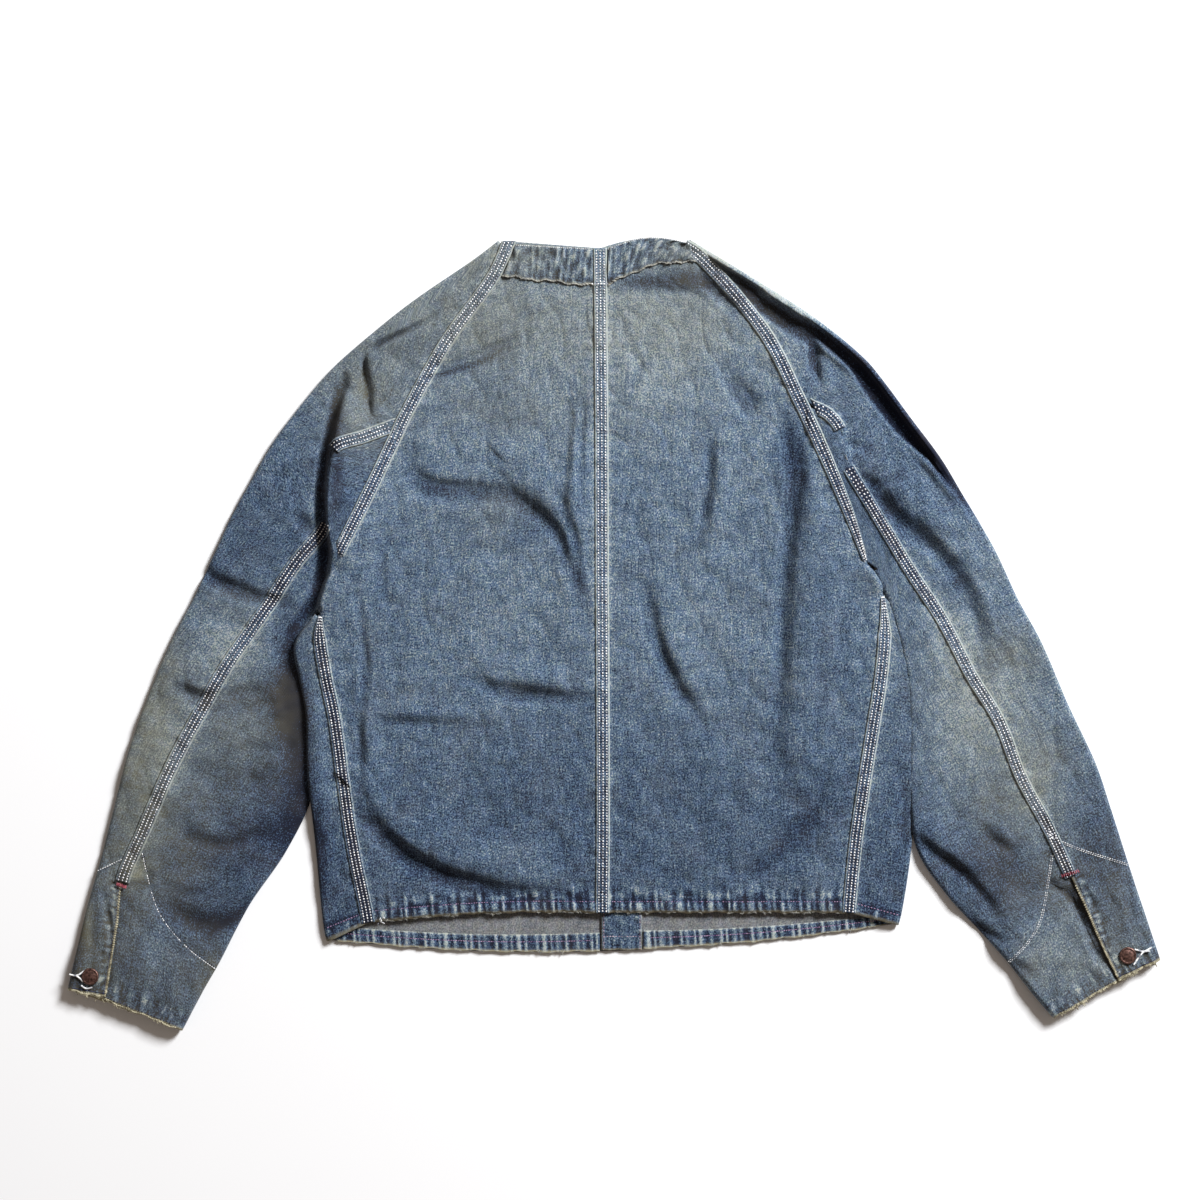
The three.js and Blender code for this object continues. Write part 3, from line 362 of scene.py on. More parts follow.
# A half's lines are marks in millimetres, from the hem or the cuff upwards. Its slants, rises
# and covers shift an end by so many millimetres; a start or a top is a number of rows.
HALVES = {
    "left": {
        "side": -1,
        "seam": [(-246, -288), (-248, -276), (-262, -207), (-271, -145), (-280, -81), (-288, -43),
                 (-294, -1), (-293, 20)],
        "edge": [(-288, -307), (-291, -292), (-300, -202), (-307, -139), (-309, -78), (-316, -42),
                 (-320, -9), (-299, 21)],
        "raglan": [(-276, 79), (-244, 144), (-216.5, 203), (-212, 213), (-169, 291), (-119, 362),
                   (-105, 394)],
        "raglan_steps": [3, 2, 1, 4, 3, 2],
        "sleeve_seam": [(-508, -362), (-501, -318), (-496, -285), (-492, -247), (-470, -194),
                        (-441, -128), (-412, -74), (-388, -32), (-349, 25), (-319, 71),
                        (-288, 112)],
        "outer": [(-547, -355), (-537, -312), (-528, -274), (-516, -232), (-503, -182),
                  (-486, -116), (-463, -52), (-443, -5), (-420, 39), (-401, 80), (-382, 121)],
        "inner": [(-432, -396), (-411, -356), (-395, -328), (-366, -272), (-328, -216),
                  (-303, -160), (-303, -92), (-309, -42), (-309, -6), (-287, 36), (-271, 68)],
        "sleeve_steps": [2, 1, 1, 2, 2, 2, 2, 3, 2, 2],
        "armpit_edge": [(-293, 20), (-297, 26), (-297, 38), (-291, 56), (-283, 71), (-276, 79)],
        "armpit_rise": 0,
        "armpit_seam": [(-284, 150), (-280, 186), (-250, 198), (-228, 206.5), (-223, 208.5)],
        "armpit_steps": [2, 1, 1, 1, 1],
        "armpit_outer": [(-366, 150), (-342, 192), (-320, 222), (-294, 254), (-282, 267)],
        "raglan_outer": [(-268, 280), (-206, 331), (-138, 378), (-116, 395)],
        "front_raglan": [(-280, 72), (-246, 142), (-212, 205), (-169, 288), (-122, 358), (-112, 388)],
        "stub_start": 3, "stub_slant": 5.6, "sleeve_fell_top": 0, "neck_rise": 0, "hem_rise": 4,
        "band_cover": 0, "foot_slant": 9, "top_slant": -3.1, "foot_half": 0.9,
        "front_hem": 6, "button": (-523, -341),
    },
    "right": {
        "side": 1,
        "seam": [(235, -278), (236, -266), (242, -207), (251, -145), (260, -88), (267, -43),
                 (271, 5), (269, 40)],
        "edge": [(285, -291), (288, -280), (298, -213), (301, -150), (302, -93), (301, -47),
                 (288, 0), (279, 35)],
        "raglan": [(253, 73), (237, 120), (190, 226), (184, 238), (151, 302.5), (86, 378.5),
                   (70, 389.5)],
        "raglan_steps": [2, 3, 1, 3, 4, 2],
        "sleeve_seam": [(504, -345), (485, -306), (473, -277), (457, -242), (435, -194),
                        (407, -142), (385, -86), (357, -40), (329, 14), (296, 65), (256, 132)],
        "outer": [(547, -325), (536, -292), (526, -262), (513, -222), (499, -178), (483, -130),
                  (456, -72), (427, -5), (405, 35), (383, 82), (345, 148)],
        "inner": [(440, -384), (417, -357), (396, -330), (366, -296), (333, -260), (303, -214),
                  (296, -154), (296, -95), (292, -36), (276, 28), (260, 64)],
        "sleeve_steps": [2, 1, 1, 2, 2, 2, 2, 2, 2, 2],
        "armpit_edge": [(269, 40), (272, 44), (271, 50), (266, 58), (260, 66), (253, 73)],
        "armpit_rise": 4,
        "armpit_seam": [(240, 158), (230, 176), (226, 206), (214, 221), (203, 227)],
        "armpit_steps": [1, 1, 2, 1, 1],
        "armpit_outer": [(331, 171), (320, 187), (298, 216), (276, 246), (266, 259)],
        "raglan_outer": [(253, 274.5), (205, 314.5), (94, 385), (76, 396)],
        "front_raglan": [(257, 66), (236, 118), (202, 200), (159, 290), (88, 370), (74, 386)],
        "stub_start": 4, "stub_slant": 8.4, "sleeve_fell_top": 1, "neck_rise": 8, "hem_rise": 0,
        "band_cover": 11, "foot_slant": 4, "top_slant": 0, "foot_half": 0.15,
        "front_hem": 5, "button": (513, -320),
    },
}
UNDER_SHARES = [0.5, 0.5, 0.5, 0.5, 0.5, 0.5, 0.5, 0.52, 0.6, 0.75, 0.9]

for plan in HALVES.values():
    plan["side_seam"] = trace(plan["seam"], BODY_STEPS)
    plan["body_edge"] = trace(plan["edge"], BODY_STEPS)
    plan["raglan_seam"] = trace(plan["raglan"], plan["raglan_steps"])
    stretches = len(plan["armpit_edge"]) - 1
    armpit = trace(plan["armpit_edge"], [ARMPIT_STEPS / stretches] * stretches, first=SIDE_TOP)
    plan["outline"] = joined(
        plan["side_seam"],
        (armpit[0][1:], armpit[1][1:]),
        (plan["raglan_seam"][0][1:] + RAGLAN_FOOT, plan["raglan_seam"][1][1:]),
    )


# Both cloths of a raglan seam meet at one height there, and leave it over the next 30 mm.
def top_of(plan, cloth):
    beads = at(plan["raglan_seam"], np.linspace(0, sum(RAGLAN_STEPS), 3 * sum(RAGLAN_STEPS) + 1))

    def top(x, y):
        own = height(x, y, cloth)
        other = height(x, y, "sleeve" if cloth == "body" else "body")
        away = np.min([np.hypot(x - bx, y - by) for bx, by in beads], axis=0)
        share = np.clip((away - FELL_HALF) / RAGLAN_BLEND, 0, 1)
        share = (1 - share ** 2) ** 2
        return share * (own + other) / 2 + (1 - share) * own

    return top


# How far along a line a row lies, in millimetres.
def length_at(line, row):
    length = np.concatenate([[0], np.cumsum(np.linalg.norm(np.diff(line[1], axis=0), axis=1))])
    return np.interp(row, line[0], length)


# Rows at an even distance along a line, with one exactly at each joint.
def even_rows(line, joints, spacing):
    length = length_at(line, line[0])
    rows = [np.array([joints[0]], float)]
    for start, end in zip(joints, joints[1:]):
        low, high = np.interp([start, end], line[0], length)
        count = max(1, round((high - low) / spacing))
        rows.append(np.interp(np.linspace(low, high, count + 1)[1:], length, line[0]))
        rows[-1][-1] = end
    return np.concatenate(rows)


# Washed indigo twill: dark in the pits, pale where it rubs, soiled in places. Each piece
# carries how faded, rubbed, soiled and bare it is, and a map in metres of its own cloth.
LIT = 0.76
DENIM_RAMP = [
    (0.0, (20, 26, 46)), (0.2, (48, 64, 90)), (0.4, (75, 97, 122)),
    (0.6, (102, 123, 145)), (0.8, (136, 152, 161)), (1.0, (188, 196, 194)),
]


# A screen colour as the light it stands for, dimmed to how strongly the part is lit.
def srgb(r, g, b, share=1.0):
    levels = (r / 255, g / 255, b / 255)
    linear = [(v / 12.92 if v <= 0.04045 else ((v + 0.055) / 1.055) ** 2.4) for v in levels]
    return (*(v * share for v in linear), 1.0)


# A node with its settings and inputs given by name.
def add_node(tree, kind, **values):
    made = tree.nodes.new(kind)
    for key, value in values.items():
        if hasattr(made, key) and key not in made.inputs:
            setattr(made, key, value)
        else:
            made.inputs[key].default_value = value
    return made


# Slight tints of the dye, redder, greener and bluer, each with the scale of its patches.
TINTS = [(330, (1.05, 0.985, 0.95, 1)), (210, (0.96, 1.02, 0.97, 1)), (120, (0.97, 0.99, 1.1, 1))]


def denim(name, ramp, bump=0.5, grain=1.0):
    material = bpy.data.materials.new(name)
    material.use_nodes = True
    tree = material.node_tree
    tree.nodes.clear()

    def node(kind, **values):
        return add_node(tree, kind, **values)

    def link(source, target):
        tree.links.new(source, target)

    def attribute(label):
        return node("ShaderNodeAttribute", attribute_name=label).outputs["Fac"]

    def times(source, factor, plus=0.0):
        made = node("ShaderNodeMath", operation="MULTIPLY_ADD")
        link(source, made.inputs[0])
        made.inputs[1].default_value = factor
        made.inputs[2].default_value = plus
        return made.outputs[0]

    def add(first, second):
        made = node("ShaderNodeMath", operation="ADD")
        link(first, made.inputs[0])
        link(second, made.inputs[1])
        return made.outputs[0]

    cloth_map = node("ShaderNodeUVMap", uv_map="cloth").outputs[0]

    def noise(stretch, scale, detail):
        mapping = node("ShaderNodeMapping", Scale=stretch)
        link(cloth_map, mapping.inputs["Vector"])
        made = node("ShaderNodeTexNoise", Scale=scale, Detail=detail, Roughness=0.6)
        link(mapping.outputs[0], made.inputs["Vector"])
        return made.outputs["Fac"]

    def twill(scale):
        made = node("ShaderNodeTexWave", wave_type="BANDS", bands_direction="DIAGONAL", Scale=scale,
                    Distortion=1.6, Detail=1.0, **{"Detail Scale": 3.0})
        link(cloth_map, made.inputs["Vector"])
        return made.outputs["Fac"]

    speckle = noise((1.0, 0.8, 1.0), 700, 1.0)
    streak = noise((1.0, 0.13, 1.0), 420, 2.0)
    slub = noise((0.16, 1.0, 1.0), 330, 2.0)
    mottle = noise((1.0, 1.0, 1.0), 60, 4.0)
    cloud = noise((1.0, 0.7, 1.0), 15, 3.0)
    weave = twill(400)

    value = add(attribute("fade"), times(attribute("rub"), 0.5))
    value = add(value, times(speckle, 2.0 * grain, -1.0 * grain))
    value = add(value, times(streak, 0.7 * grain, -0.35 * grain))
    value = add(value, times(slub, 0.4 * grain, -0.2 * grain))
    value = add(value, times(mottle, 0.44, -0.22))
    value = add(value, times(cloud, 0.2, -0.1))
    value = add(value, times(weave, 0.12 * grain, -0.06 * grain))
    tones = node("ShaderNodeValToRGB")
    tones.color_ramp.elements.remove(tones.color_ramp.elements[1])
    for k, (place, tone) in enumerate(ramp):
        stop = tones.color_ramp.elements[0] if k == 0 else tones.color_ramp.elements.new(place)
        stop.position = place
        stop.color = srgb(*tone, LIT)
    link(value, tones.inputs[0])

    # A colour laid over another; sockets 6 and 7 are the two colours.
    def mix(base, over, factor, kind="MIX"):
        made = node("ShaderNodeMix", data_type="RGBA", blend_type=kind)
        link(factor, made.inputs[0])
        link(base, made.inputs[6])
        if isinstance(over, tuple):
            made.inputs[7].default_value = over
        else:
            link(over, made.inputs[7])
        return made.outputs[2]

    blush = noise((1.0, 1.0, 1.0), 24, 2.0)
    colour = mix(tones.outputs[0], srgb(124, 116, 108, LIT), times(blush, 0.4, -0.18))
    for scale, tint in TINTS:
        colour = mix(colour, tint, times(noise((1.0, 1.0, 1.0), scale, 1.0), 4.0, -1.5), "MULTIPLY")
    patchy = noise((1.0, 1.0, 1.0), 38, 3.0)
    soil = node("ShaderNodeMath", operation="MULTIPLY")
    link(attribute("soil"), soil.inputs[0])
    link(times(patchy, 1.5, 0.15), soil.inputs[1])
    colour = mix(colour, srgb(126, 120, 90, LIT), soil.outputs[0])
    colour = mix(colour, srgb(206, 196, 160, LIT), attribute("bare"))
    skin = node("ShaderNodeBsdfPrincipled", Roughness=0.93, **{
        "Specular IOR Level": 0.22, "Sheen Weight": 0.12, "Sheen Roughness": 0.5})
    link(colour, skin.inputs["Base Color"])
    relief = add(times(weave, 0.5), add(times(speckle, 0.9), times(streak, 0.35)))
    raised = node("ShaderNodeBump", Strength=bump, Distance=0.0005)
    link(relief, raised.inputs["Height"])
    link(raised.outputs[0], skin.inputs["Normal"])
    surface = node("ShaderNodeOutputMaterial")
    link(skin.outputs[0], surface.inputs[0])
    return material


denim_outside = denim("washed_denim", DENIM_RAMP)
denim_inside = denim("denim_wrong_side", [
    (0.0, (72, 77, 86)), (0.3, (122, 124, 127)), (0.55, (158, 159, 158)),
    (0.8, (188, 187, 182)), (1.0, (210, 206, 196)),
], bump=0.35, grain=0.55)

# How faded the cloth is, from the hem up to the neck and from the cuffs up to the shoulders,
# and the places that wear and dirt have marked, with painted shade beside folds, seams and edges: x, y,
# half width, half height, how much.
BODY_FADE = ([-320, -250, -190, -150, -100, -40, 40, 120, 180, 215, 260, 300, 400],
             [0.34, 0.35, 0.35, 0.38, 0.44, 0.50, 0.52, 0.53, 0.56, 0.59, 0.66, 0.72, 0.68])
SLEEVE_FADE = ([-400, -340, -270, -220, -180, -120, -60, 0, 60, 130, 180, 240, 330, 400],
               [0.38, 0.40, 0.37, 0.33, 0.40, 0.48, 0.52, 0.50, 0.45, 0.40, 0.43, 0.50, 0.60, 0.76])
WEAR_AND_SHADE_SPOTS = [
    (50, 300, 70, 70, 0.08), (126, 290, 36, 60, -0.10), (-120, 240, 80, 60, -0.05),
    (206, 20, 30, 60, -0.05), (-54, 35, 40, 40, 0.07), (186, -240, 40, 26, 0.07),
    (-284, -145, 16, 60, 0.08), (271, -145, 14, 70, 0.08), (-75, 60, 60, 60, 0.02),
    (184, 155, 11, 60, -0.10), (-300, -270, 16, 40, -0.05),
    (-100, 195, 110, 22, 0.05), (100, 0, 80, 60, 0.05), (-150, 10, 60, 60, 0.05),
    (-230, 60, 30, 90, -0.06), (215, 30, 30, 120, -0.08), (-30, -230, 60, 40, -0.02),
    (30, -262, 30, 14, 0.12), (96, 348, 14, 12, -0.3), (55, 352, 24, 8, -0.28),
    (28, 354, 20, 8, -0.2), (78, 357, 20, 12, -0.5), (46, 354, 26, 9, -0.25),
    (16, 352, 18, 8, -0.25), (124, 338, 12, 16, -0.3),
    (-277, 205, 6, 32, -0.4), (-533, -282, 6, 50, -0.35), (-541, -316, 6, 20, -0.2),
    (-322, -70, 14, 30, -0.25), (-302, -226, 9, 34, -0.2), (-293, -299, 8, 8, -0.25),
    (266, -293, 14, 8, -0.2), (-301, 120, 8, 30, 0.22), (-116, -219, 34, 12, 0.18),
    (-328, -74, 17, 38, -0.62), (-316, -130, 12, 40, -0.2), (-304, -222, 13, 44, -0.55),
    (-538, -310, 9, 60, -0.25), (419, -218, 14, 14, 0.25), (373, -30, 16, 20, -0.2),
    (-34, 47, 8, 24, -0.2), (-276, 150, 10, 40, -0.2),
    (-85, 106, 16, 14, -0.25), (172, 180, 12, 34, -0.2), (186, 155, 12, 36, -0.14),
    (338, 54, 18, 22, -0.25), (-75, -239, 24, 12, 0.2), (-250, 240, 44, 50, 0.08),
    (-210, -160, 60, 60, 0.03), (120, -215, 90, 50, 0.02),
    (-384, -8, 44, 32, 0.28), (-440, -90, 36, 44, 0.14), (-430, -55, 30, 14, -0.10),
    (-444, -222, 30, 30, -0.10), (-424, -355, 50, 30, -0.10), (-514, -305, 22, 40, -0.16),
    (386, 34, 40, 30, -0.10), (326, -190, 40, 24, -0.06), (513, -290, 16, 40, -0.08),
    (-477, -238, 8, 9, 0.28), (-472, -247, 8, 4, -0.35), (-456, -306, 14, 22, 0.12),
    (-482, -334, 12, 12, -0.14), (-527, -290, 5, 34, 0.16), (-519, -300, 3, 40, -0.16),
    (-380, -310, 10, 12, 0.12), (-370, -372, 8, 14, -0.16), (-480, -280, 12, 30, -0.04),
    (458, -190, 14, 30, 0.12), (500, -250, 8, 30, -0.10), (520, -285, 10, 30, 0.12),
    (490, -300, 6, 20, -0.12), (425, -310, 30, 24, 0.06),
    (-334, -60, 24, 80, -0.10), (-449, 135, 60, 90, -0.04),
    (-340, -75, 26, 40, 0.10), (-450, -130, 26, 50, 0.20), (-470, -215, 26, 40, 0.22),
    (-400, 75, 50, 30, -0.12), (-360, -200, 60, 34, -0.16), (-400, -285, 60, 34, -0.14),
    (-336, -150, 34, 60, -0.14), (-320, 130, 50, 50, -0.06), (-440, -345, 40, 30, 0.06),
    (-520, -290, 20, 50, 0.10), (330, 30, 50, 90, 0.24), (350, -110, 40, 90, 0.20),
    (420, -160, 26, 50, 0.30), (386, -60, 40, 50, 0.16), (300, -30, 20, 100, -0.10),
    (480, -210, 24, 60, -0.12), (390, -235, 50, 40, -0.20), (460, -330, 50, 34, 0.20),
    (300, 130, 70, 50, -0.06), (400, 60, 40, 70, 0.05), (520, -270, 22, 50, -0.02),
    (440, -290, 40, 30, 0.10), (230, 235, 30, 40, -0.04), (160, 330, 60, 40, 0.04),
]
SOIL_SPOTS = [
    (401, -20, 34, 26, 0.32), (426, -135, 24, 30, 0.15), (390, 70, 20, 20, 0.15),
    (-470, -120, 40, 90, 0.34), (-500, -240, 40, 80, 0.34), (-440, -210, 50, 60, 0.26),
    (-404, -340, 12, 26, 0.30), (-527, -295, 7, 30, 0.35), (-477, -238, 9, 10, 0.4),
    (430, -150, 60, 70, 0.14), (400, -260, 60, 50, 0.12), (500, -260, 40, 60, 0.2),
    (-430, -350, 70, 60, 0.25), (-520, -340, 30, 60, 0.28), (470, -340, 60, 50, 0.28),
    (-100, 222, 60, 22, 0.18), (0, 223, 40, 22, 0.14), (-113, 126, 40, 26, 0.2),
    (-135, 376, 20, 22, 0.2),
    (390, -178, 42, 34, 0.22), (414, -334, 24, 24, 0.2), (-446, -24, 24, 30, 0.22),
    (-496, -154, 16, 30, 0.2), (-380, 34, 40, 20, 0.2),
    (-252, 236, 42, 52, 0.44), (-350, -85, 42, 60, 0.22), (-468, -78, 30, 70, 0.3),
    (-390, -130, 40, 50, 0.18), (440, -250, 30, 60, 0.15), (520, -320, 30, 40, 0.15),
    (350, -60, 44, 90, 0.2),
    (-200, 330, 90, 50, 0.25), (60, 330, 160, 60, 0.22), (-120, 300, 100, 60, 0.25),
    (-400, -60, 50, 60, 0.18), (60, 300, 60, 60, 0.12), (400, -100, 60, 60, 0.18),
    (-90, 380, 40, 20, 0.3), (80, 385, 50, 20, 0.3),
]
# Cloth deep in a crease is painted darker, partly dye that wear never reached and partly
# painted shade: so much darker per mm, down to a limit.
CREASE_PAINTED_SHADE = 0.036
CREASE_SHADE_LIMIT = 0.62


# What all the spots of one kind come to at each point.
def marked(spots, x, y):
    return sum(much * np.exp(-((x - cx) / wide) ** 2 - ((y - cy) / high) ** 2)
               for cx, cy, wide, high, much in spots)


# A finished piece stands at the origin, with its place in its mesh.
def put_down(name, data):
    piece = bpy.data.objects.new(name, data)
    bpy.context.collection.objects.link(piece)
    return piece


# One piece of cloth: a grid whose rows lie along the piece and whose columns run across it.
# place bends it to its form and gives its points with what it wears; drop cuts away what
# the piece doesn't have.
def lay_cloth(name, rows, across, place, turned, cloth="body", wall=CLOTH, drop=None):
    rows, across = np.asarray(rows), np.asarray(across)
    grid = bmesh.new()
    bmesh.ops.create_grid(grid, x_segments=len(across) - 1, y_segments=len(rows) - 1, size=1)
    mesh = bpy.data.meshes.new(name)
    grid.to_mesh(mesh)
    grid.free()
    flat = np.empty(3 * len(mesh.vertices), np.float32)
    mesh.vertices.foreach_get("co", flat)
    flat = flat.reshape(-1, 3)
    column = np.rint((flat[:, 0] + 1) / 2 * (len(across) - 1)).astype(int)
    line = np.rint((flat[:, 1] + 1) / 2 * (len(rows) - 1)).astype(int)
    row, share = rows[line], across[column]
    points, wear = place(row, share)
    mesh.vertices.foreach_set("co", (points * MM).astype(np.float32).ravel())

    # The map in metres: how far along its row and up its column each point lies.
    table = np.zeros((len(rows), len(across), 3))
    table[line, column] = points
    reach = np.zeros(table.shape[:2])
    reach[:, 1:] = np.cumsum(np.linalg.norm(np.diff(table, axis=1), axis=2), axis=1)
    climb = np.zeros(table.shape[:2])
    climb[1:] = np.cumsum(np.linalg.norm(np.diff(table, axis=0), axis=2), axis=0)
    corners = np.empty(len(mesh.loops), np.int32)
    mesh.loops.foreach_get("vertex_index", corners)
    places = np.stack([reach[line, column], climb[line, column]], -1)[corners] * MM
    mesh.uv_layers.new(name="cloth").data.foreach_set("uv", places.astype(np.float32).ravel())

    base = np.interp(points[:, 1], *(BODY_FADE if cloth == "body" else SLEEVE_FADE))
    wear = {"fade": 0, "rub": 0, "soil": 0, "bare": 0, **wear}
    # Creases are painted darker by their depth: painted shade and kept dye.
    deep = -sum(np.minimum(lift, 0) for lift in lifts_of(points[:, 0], points[:, 1], cloth))
    wear["fade"] = wear["fade"] + base - np.minimum(CREASE_SHADE_LIMIT, CREASE_PAINTED_SHADE * deep)
    # Wear, and painted shade beside folds and edges, from the spots.
    wear["fade"] = wear["fade"] + marked(WEAR_AND_SHADE_SPOTS, points[:, 0], points[:, 1])
    wear["soil"] = wear["soil"] + marked(SOIL_SPOTS, points[:, 0], points[:, 1])
    for key, value in wear.items():
        layer = mesh.attributes.new(key, "FLOAT", "POINT")
        layer.data.foreach_set("value", np.broadcast_to(value, row.shape).astype(np.float32))
    if drop is not None:
        ring = corners.reshape(-1, 4)
        gone = np.flatnonzero(drop(row[ring].mean(1), share[ring].mean(1)))
        cut = bmesh.new()
        cut.from_mesh(mesh)
        cut.faces.ensure_lookup_table()
        bmesh.ops.delete(cut, geom=[cut.faces[k] for k in gone], context="FACES")
        cut.to_mesh(mesh)
        cut.free()
    if turned:
        mesh.flip_normals()
    mesh.shade_smooth()
    for skin in (denim_outside, denim_inside):
        mesh.materials.append(skin)
    piece = put_down(name, mesh)
    thick = piece.modifiers.new("wall", "SOLIDIFY")
    thick.thickness = wall * MM
    thick.offset = -1
    thick.material_offset = 1
    thick.material_offset_rim = 0
    area = sum(face.area for face in mesh.polygons)
    size = (float(reach[:, -1].max()) * MM, float(climb[-1].max()) * MM)
    return piece, size, area


# Each piece rides on the one body and stands for its solid.
def fit(name, node, made):
    piece, (wide, long), area = made
    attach(piece, "root")
    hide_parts(node)
    area = min(area, wide * long)


HEM_BAND = 11
CELL = 3.2
RIDGE_PITCH = 9.5
HEM_PITCH = 8.0
BACK_COLUMNS = 151  # fine enough for puckers 8 mm apart


# Beside a felled band the sewing has drawn the cloth into ridges: their height, how they rub,
# and the rub along the band's own edge.
def beside_fell(along, away, seed, centre=10, wide=6, edge=7, fading=1):
    beside = near(away, centre, wide) * fading
    waves = rope(along, RIDGE_PITCH, seed)
    return 0.28 * beside * waves, 0.22 * beside * waves, 0.25 * near(away, edge, 2.2)


def make_back(label, plan):
    side, outline = plan["side"], plan["outline"]
    body_top = plan["body_top"] = top_of(plan, "body")

    def place_back(row, share):
        start = at(middle, row) + SEAM_GAP / 2 * out_of(middle, row, side)
        end = at(outline, row) - SEAM_GAP / 2 * out_of(outline, row, side)
        flat = start + (end - start) * share[:, None]
        rise = plan["hem_rise"] * np.interp(row, [0, 1, 2], [1, 1, 0])
        rise = rise + plan["neck_rise"] * np.interp(row, [BAND_ROW - 1, BAND_ROW], [0, 1])
        flat[:, 1] += rise * np.sin(np.pi * share)
        width = np.linalg.norm(end - start, axis=1)
        from_outline = (1 - share) * width
        hem = length_at(middle, row)
        edge = length_at(outline, row)
        x, y = flat.T
        z = body_top(x, y)
        rub = np.zeros(len(x))
        for away, along, seed in ((share * width, hem, 1.0), (from_outline, edge, 2.0)):
            ridges, rubbed, pale = beside_fell(along + 0.35 * away, away, seed + side, 11, 6.5, 7.5)
            z = z + ridges
            rub += rubbed + pale
        over = np.sin(np.pi * part_of(row, SIDE_TOP, RAGLAN_FOOT))
        z = z + plan["armpit_rise"] * over * near(from_outline, 0, 24)
        z = z - 6 * np.minimum(1, 2 * over) * near(from_outline, 0, 3)
        # The turned-up hem is puckered, and so is the cloth just above its stitch row.
        band = up_to(hem, HEM_BAND, 0.6)
        above = near(hem, 17, 7)
        waves = rope(x + 0.08 * hem, HEM_PITCH, 4.0 + side)
        blotch = unevenness(x, 0.6 * hem, 12, 23)
        z = z + band * (1.0 + 0.6 * waves) - 0.9 * near(hem, HEM_BAND, 1.5)
        z = z + above * (0.5 * waves + 0.4 * blotch) - 1.1 * near(hem, 0, 1.6)
        rub += 1.3 * band * puckers(waves) - 0.7 * near(hem, HEM_BAND + 1.4, 1.6)
        rub += above * (0.7 * waves + 0.7 * blotch)
        y = y + near(hem, 0, 2.5) * (0.5 * np.sin(x / 3.1) + 0.4 * np.sin(x / 7.7 + 1))
        return np.stack([x, y, z], -1), {"rub": rub, "bare": 0.8 * near(hem, 0, 1.7)}

    rows = even_rows(outline, [0, 1, SIDE_TOP, RAGLAN_FOOT, BAND_ROW, NECK_ROW], CELL)
    columns = np.linspace(0, 1, BACK_COLUMNS)
    made = lay_cloth(f"cloth_back_{label}", rows, columns, place_back, side < 0)
    fit("back", f"back_{label}", made)
    plan["place_back"] = place_back


for label, plan in HALVES.items():
    make_back(label, plan)

# The neck band is a strip of denim sewn along the neck edge. Washing has drawn it up into
# hard puckers, and its lower edge is raw and rough.
NECK_BAND_HEIGHT = 38
NECK_BAND_INSET = FELL_HALF + 0.5


def make_neck_band(label, plan):
    side, outline = plan["side"], plan["outline"]

    def place_band(row, share):
        up = (row - BAND_ROW) / (NECK_ROW - BAND_ROW)
        high = NECK_BAND_HEIGHT * up
        reach = NECK_BAND_INSET - plan["band_cover"] * part_of(up, 0.2, 0.7)
        start = at(middle, row) + NECK_BAND_INSET * out_of(middle, row, side)
        end = at(outline, row) - reach[:, None] * out_of(outline, row, side)
        flat = start + (end - start) * share[:, None]
        flat[:, 1] += plan["neck_rise"] * np.sin(np.pi * share)
        x, y = flat.T
        slant = x - (4 + 22 * part_of(x, 0, 80)) * up
        hem_low, hem_high = near(high, 0, 9), near(high, NECK_BAND_HEIGHT, 9)
        waves = hem_low * rope(slant, 8.4, 2.6 + side) + hem_high * rope(slant + 4, 6.4, 5.1 + side)
        crossing = unevenness(slant, 0.35 * high, 7.5, 31) * (1 - 0.5 * hem_low)
        ridges = 0.8 * waves + 0.8 * crossing + 0.4 * unevenness(x, high, 15, 37)
        z = plan["body_top"](x, y) + SEAM_GAP + CLOTH + 0.7 + 0.75 * ridges
        z = z - 1.3 * near(up, 1, 0.05) - 0.9 * near(up, 0, 0.04)
        z = z + 0.16 * plan["band_cover"] * up * part_of(share, 0.86, 0.96)
        y = y + near(high, 0, 5) * (0.7 * np.sin(x / 2.3) + 0.9 * np.sin(x / 6.1 + side))
        rub = 0.54 * ridges - 0.06 - 0.5 * near(high, 4, 1.6)
        bare = 0.6 * near(high, 0, 1.5) + 0.25 * near(up, 1, 0.03)
        return np.stack([x, y, z], -1), {"rub": rub, "bare": bare, "fade": -0.1}

    rows = np.linspace(BAND_ROW, NECK_ROW, 33)
    made = lay_cloth(f"cloth_neck_band_{label}", rows, np.linspace(0, 1, 91), place_band, side < 0,
                     wall=1.0)
    fit("band", f"neck_band_{label}", made)
    plan["place_band"] = place_band


for label, plan in HALVES.items():
    make_neck_band(label, plan)

# Each front is one piece of denim. It starts at the side seam, rolls over the body's folded
# edge and lies flat under the back as far as the opening; its inside shows above the hem.
EDGE_ROUND = 4.5
FACING = {"inner": -12.6, "outer": 28, "top": 286}
FRONT_EDGES = {"left": 28, "right": -13}
FRONT_HEM = -316
FRONT_STEP = {"start": 8, "end": 1.6}
FRONT_INSET = 6
FRONT_ROWS = 2 * SIDE_TOP + 1
NECK_DIP = 26
TURN_UP_ROW = 0.6
SLIT_STEPS = 3
TOP_PART, ROLL_PART = 0.22, 0.40
RAISE = CLOTH + SEAM_GAP


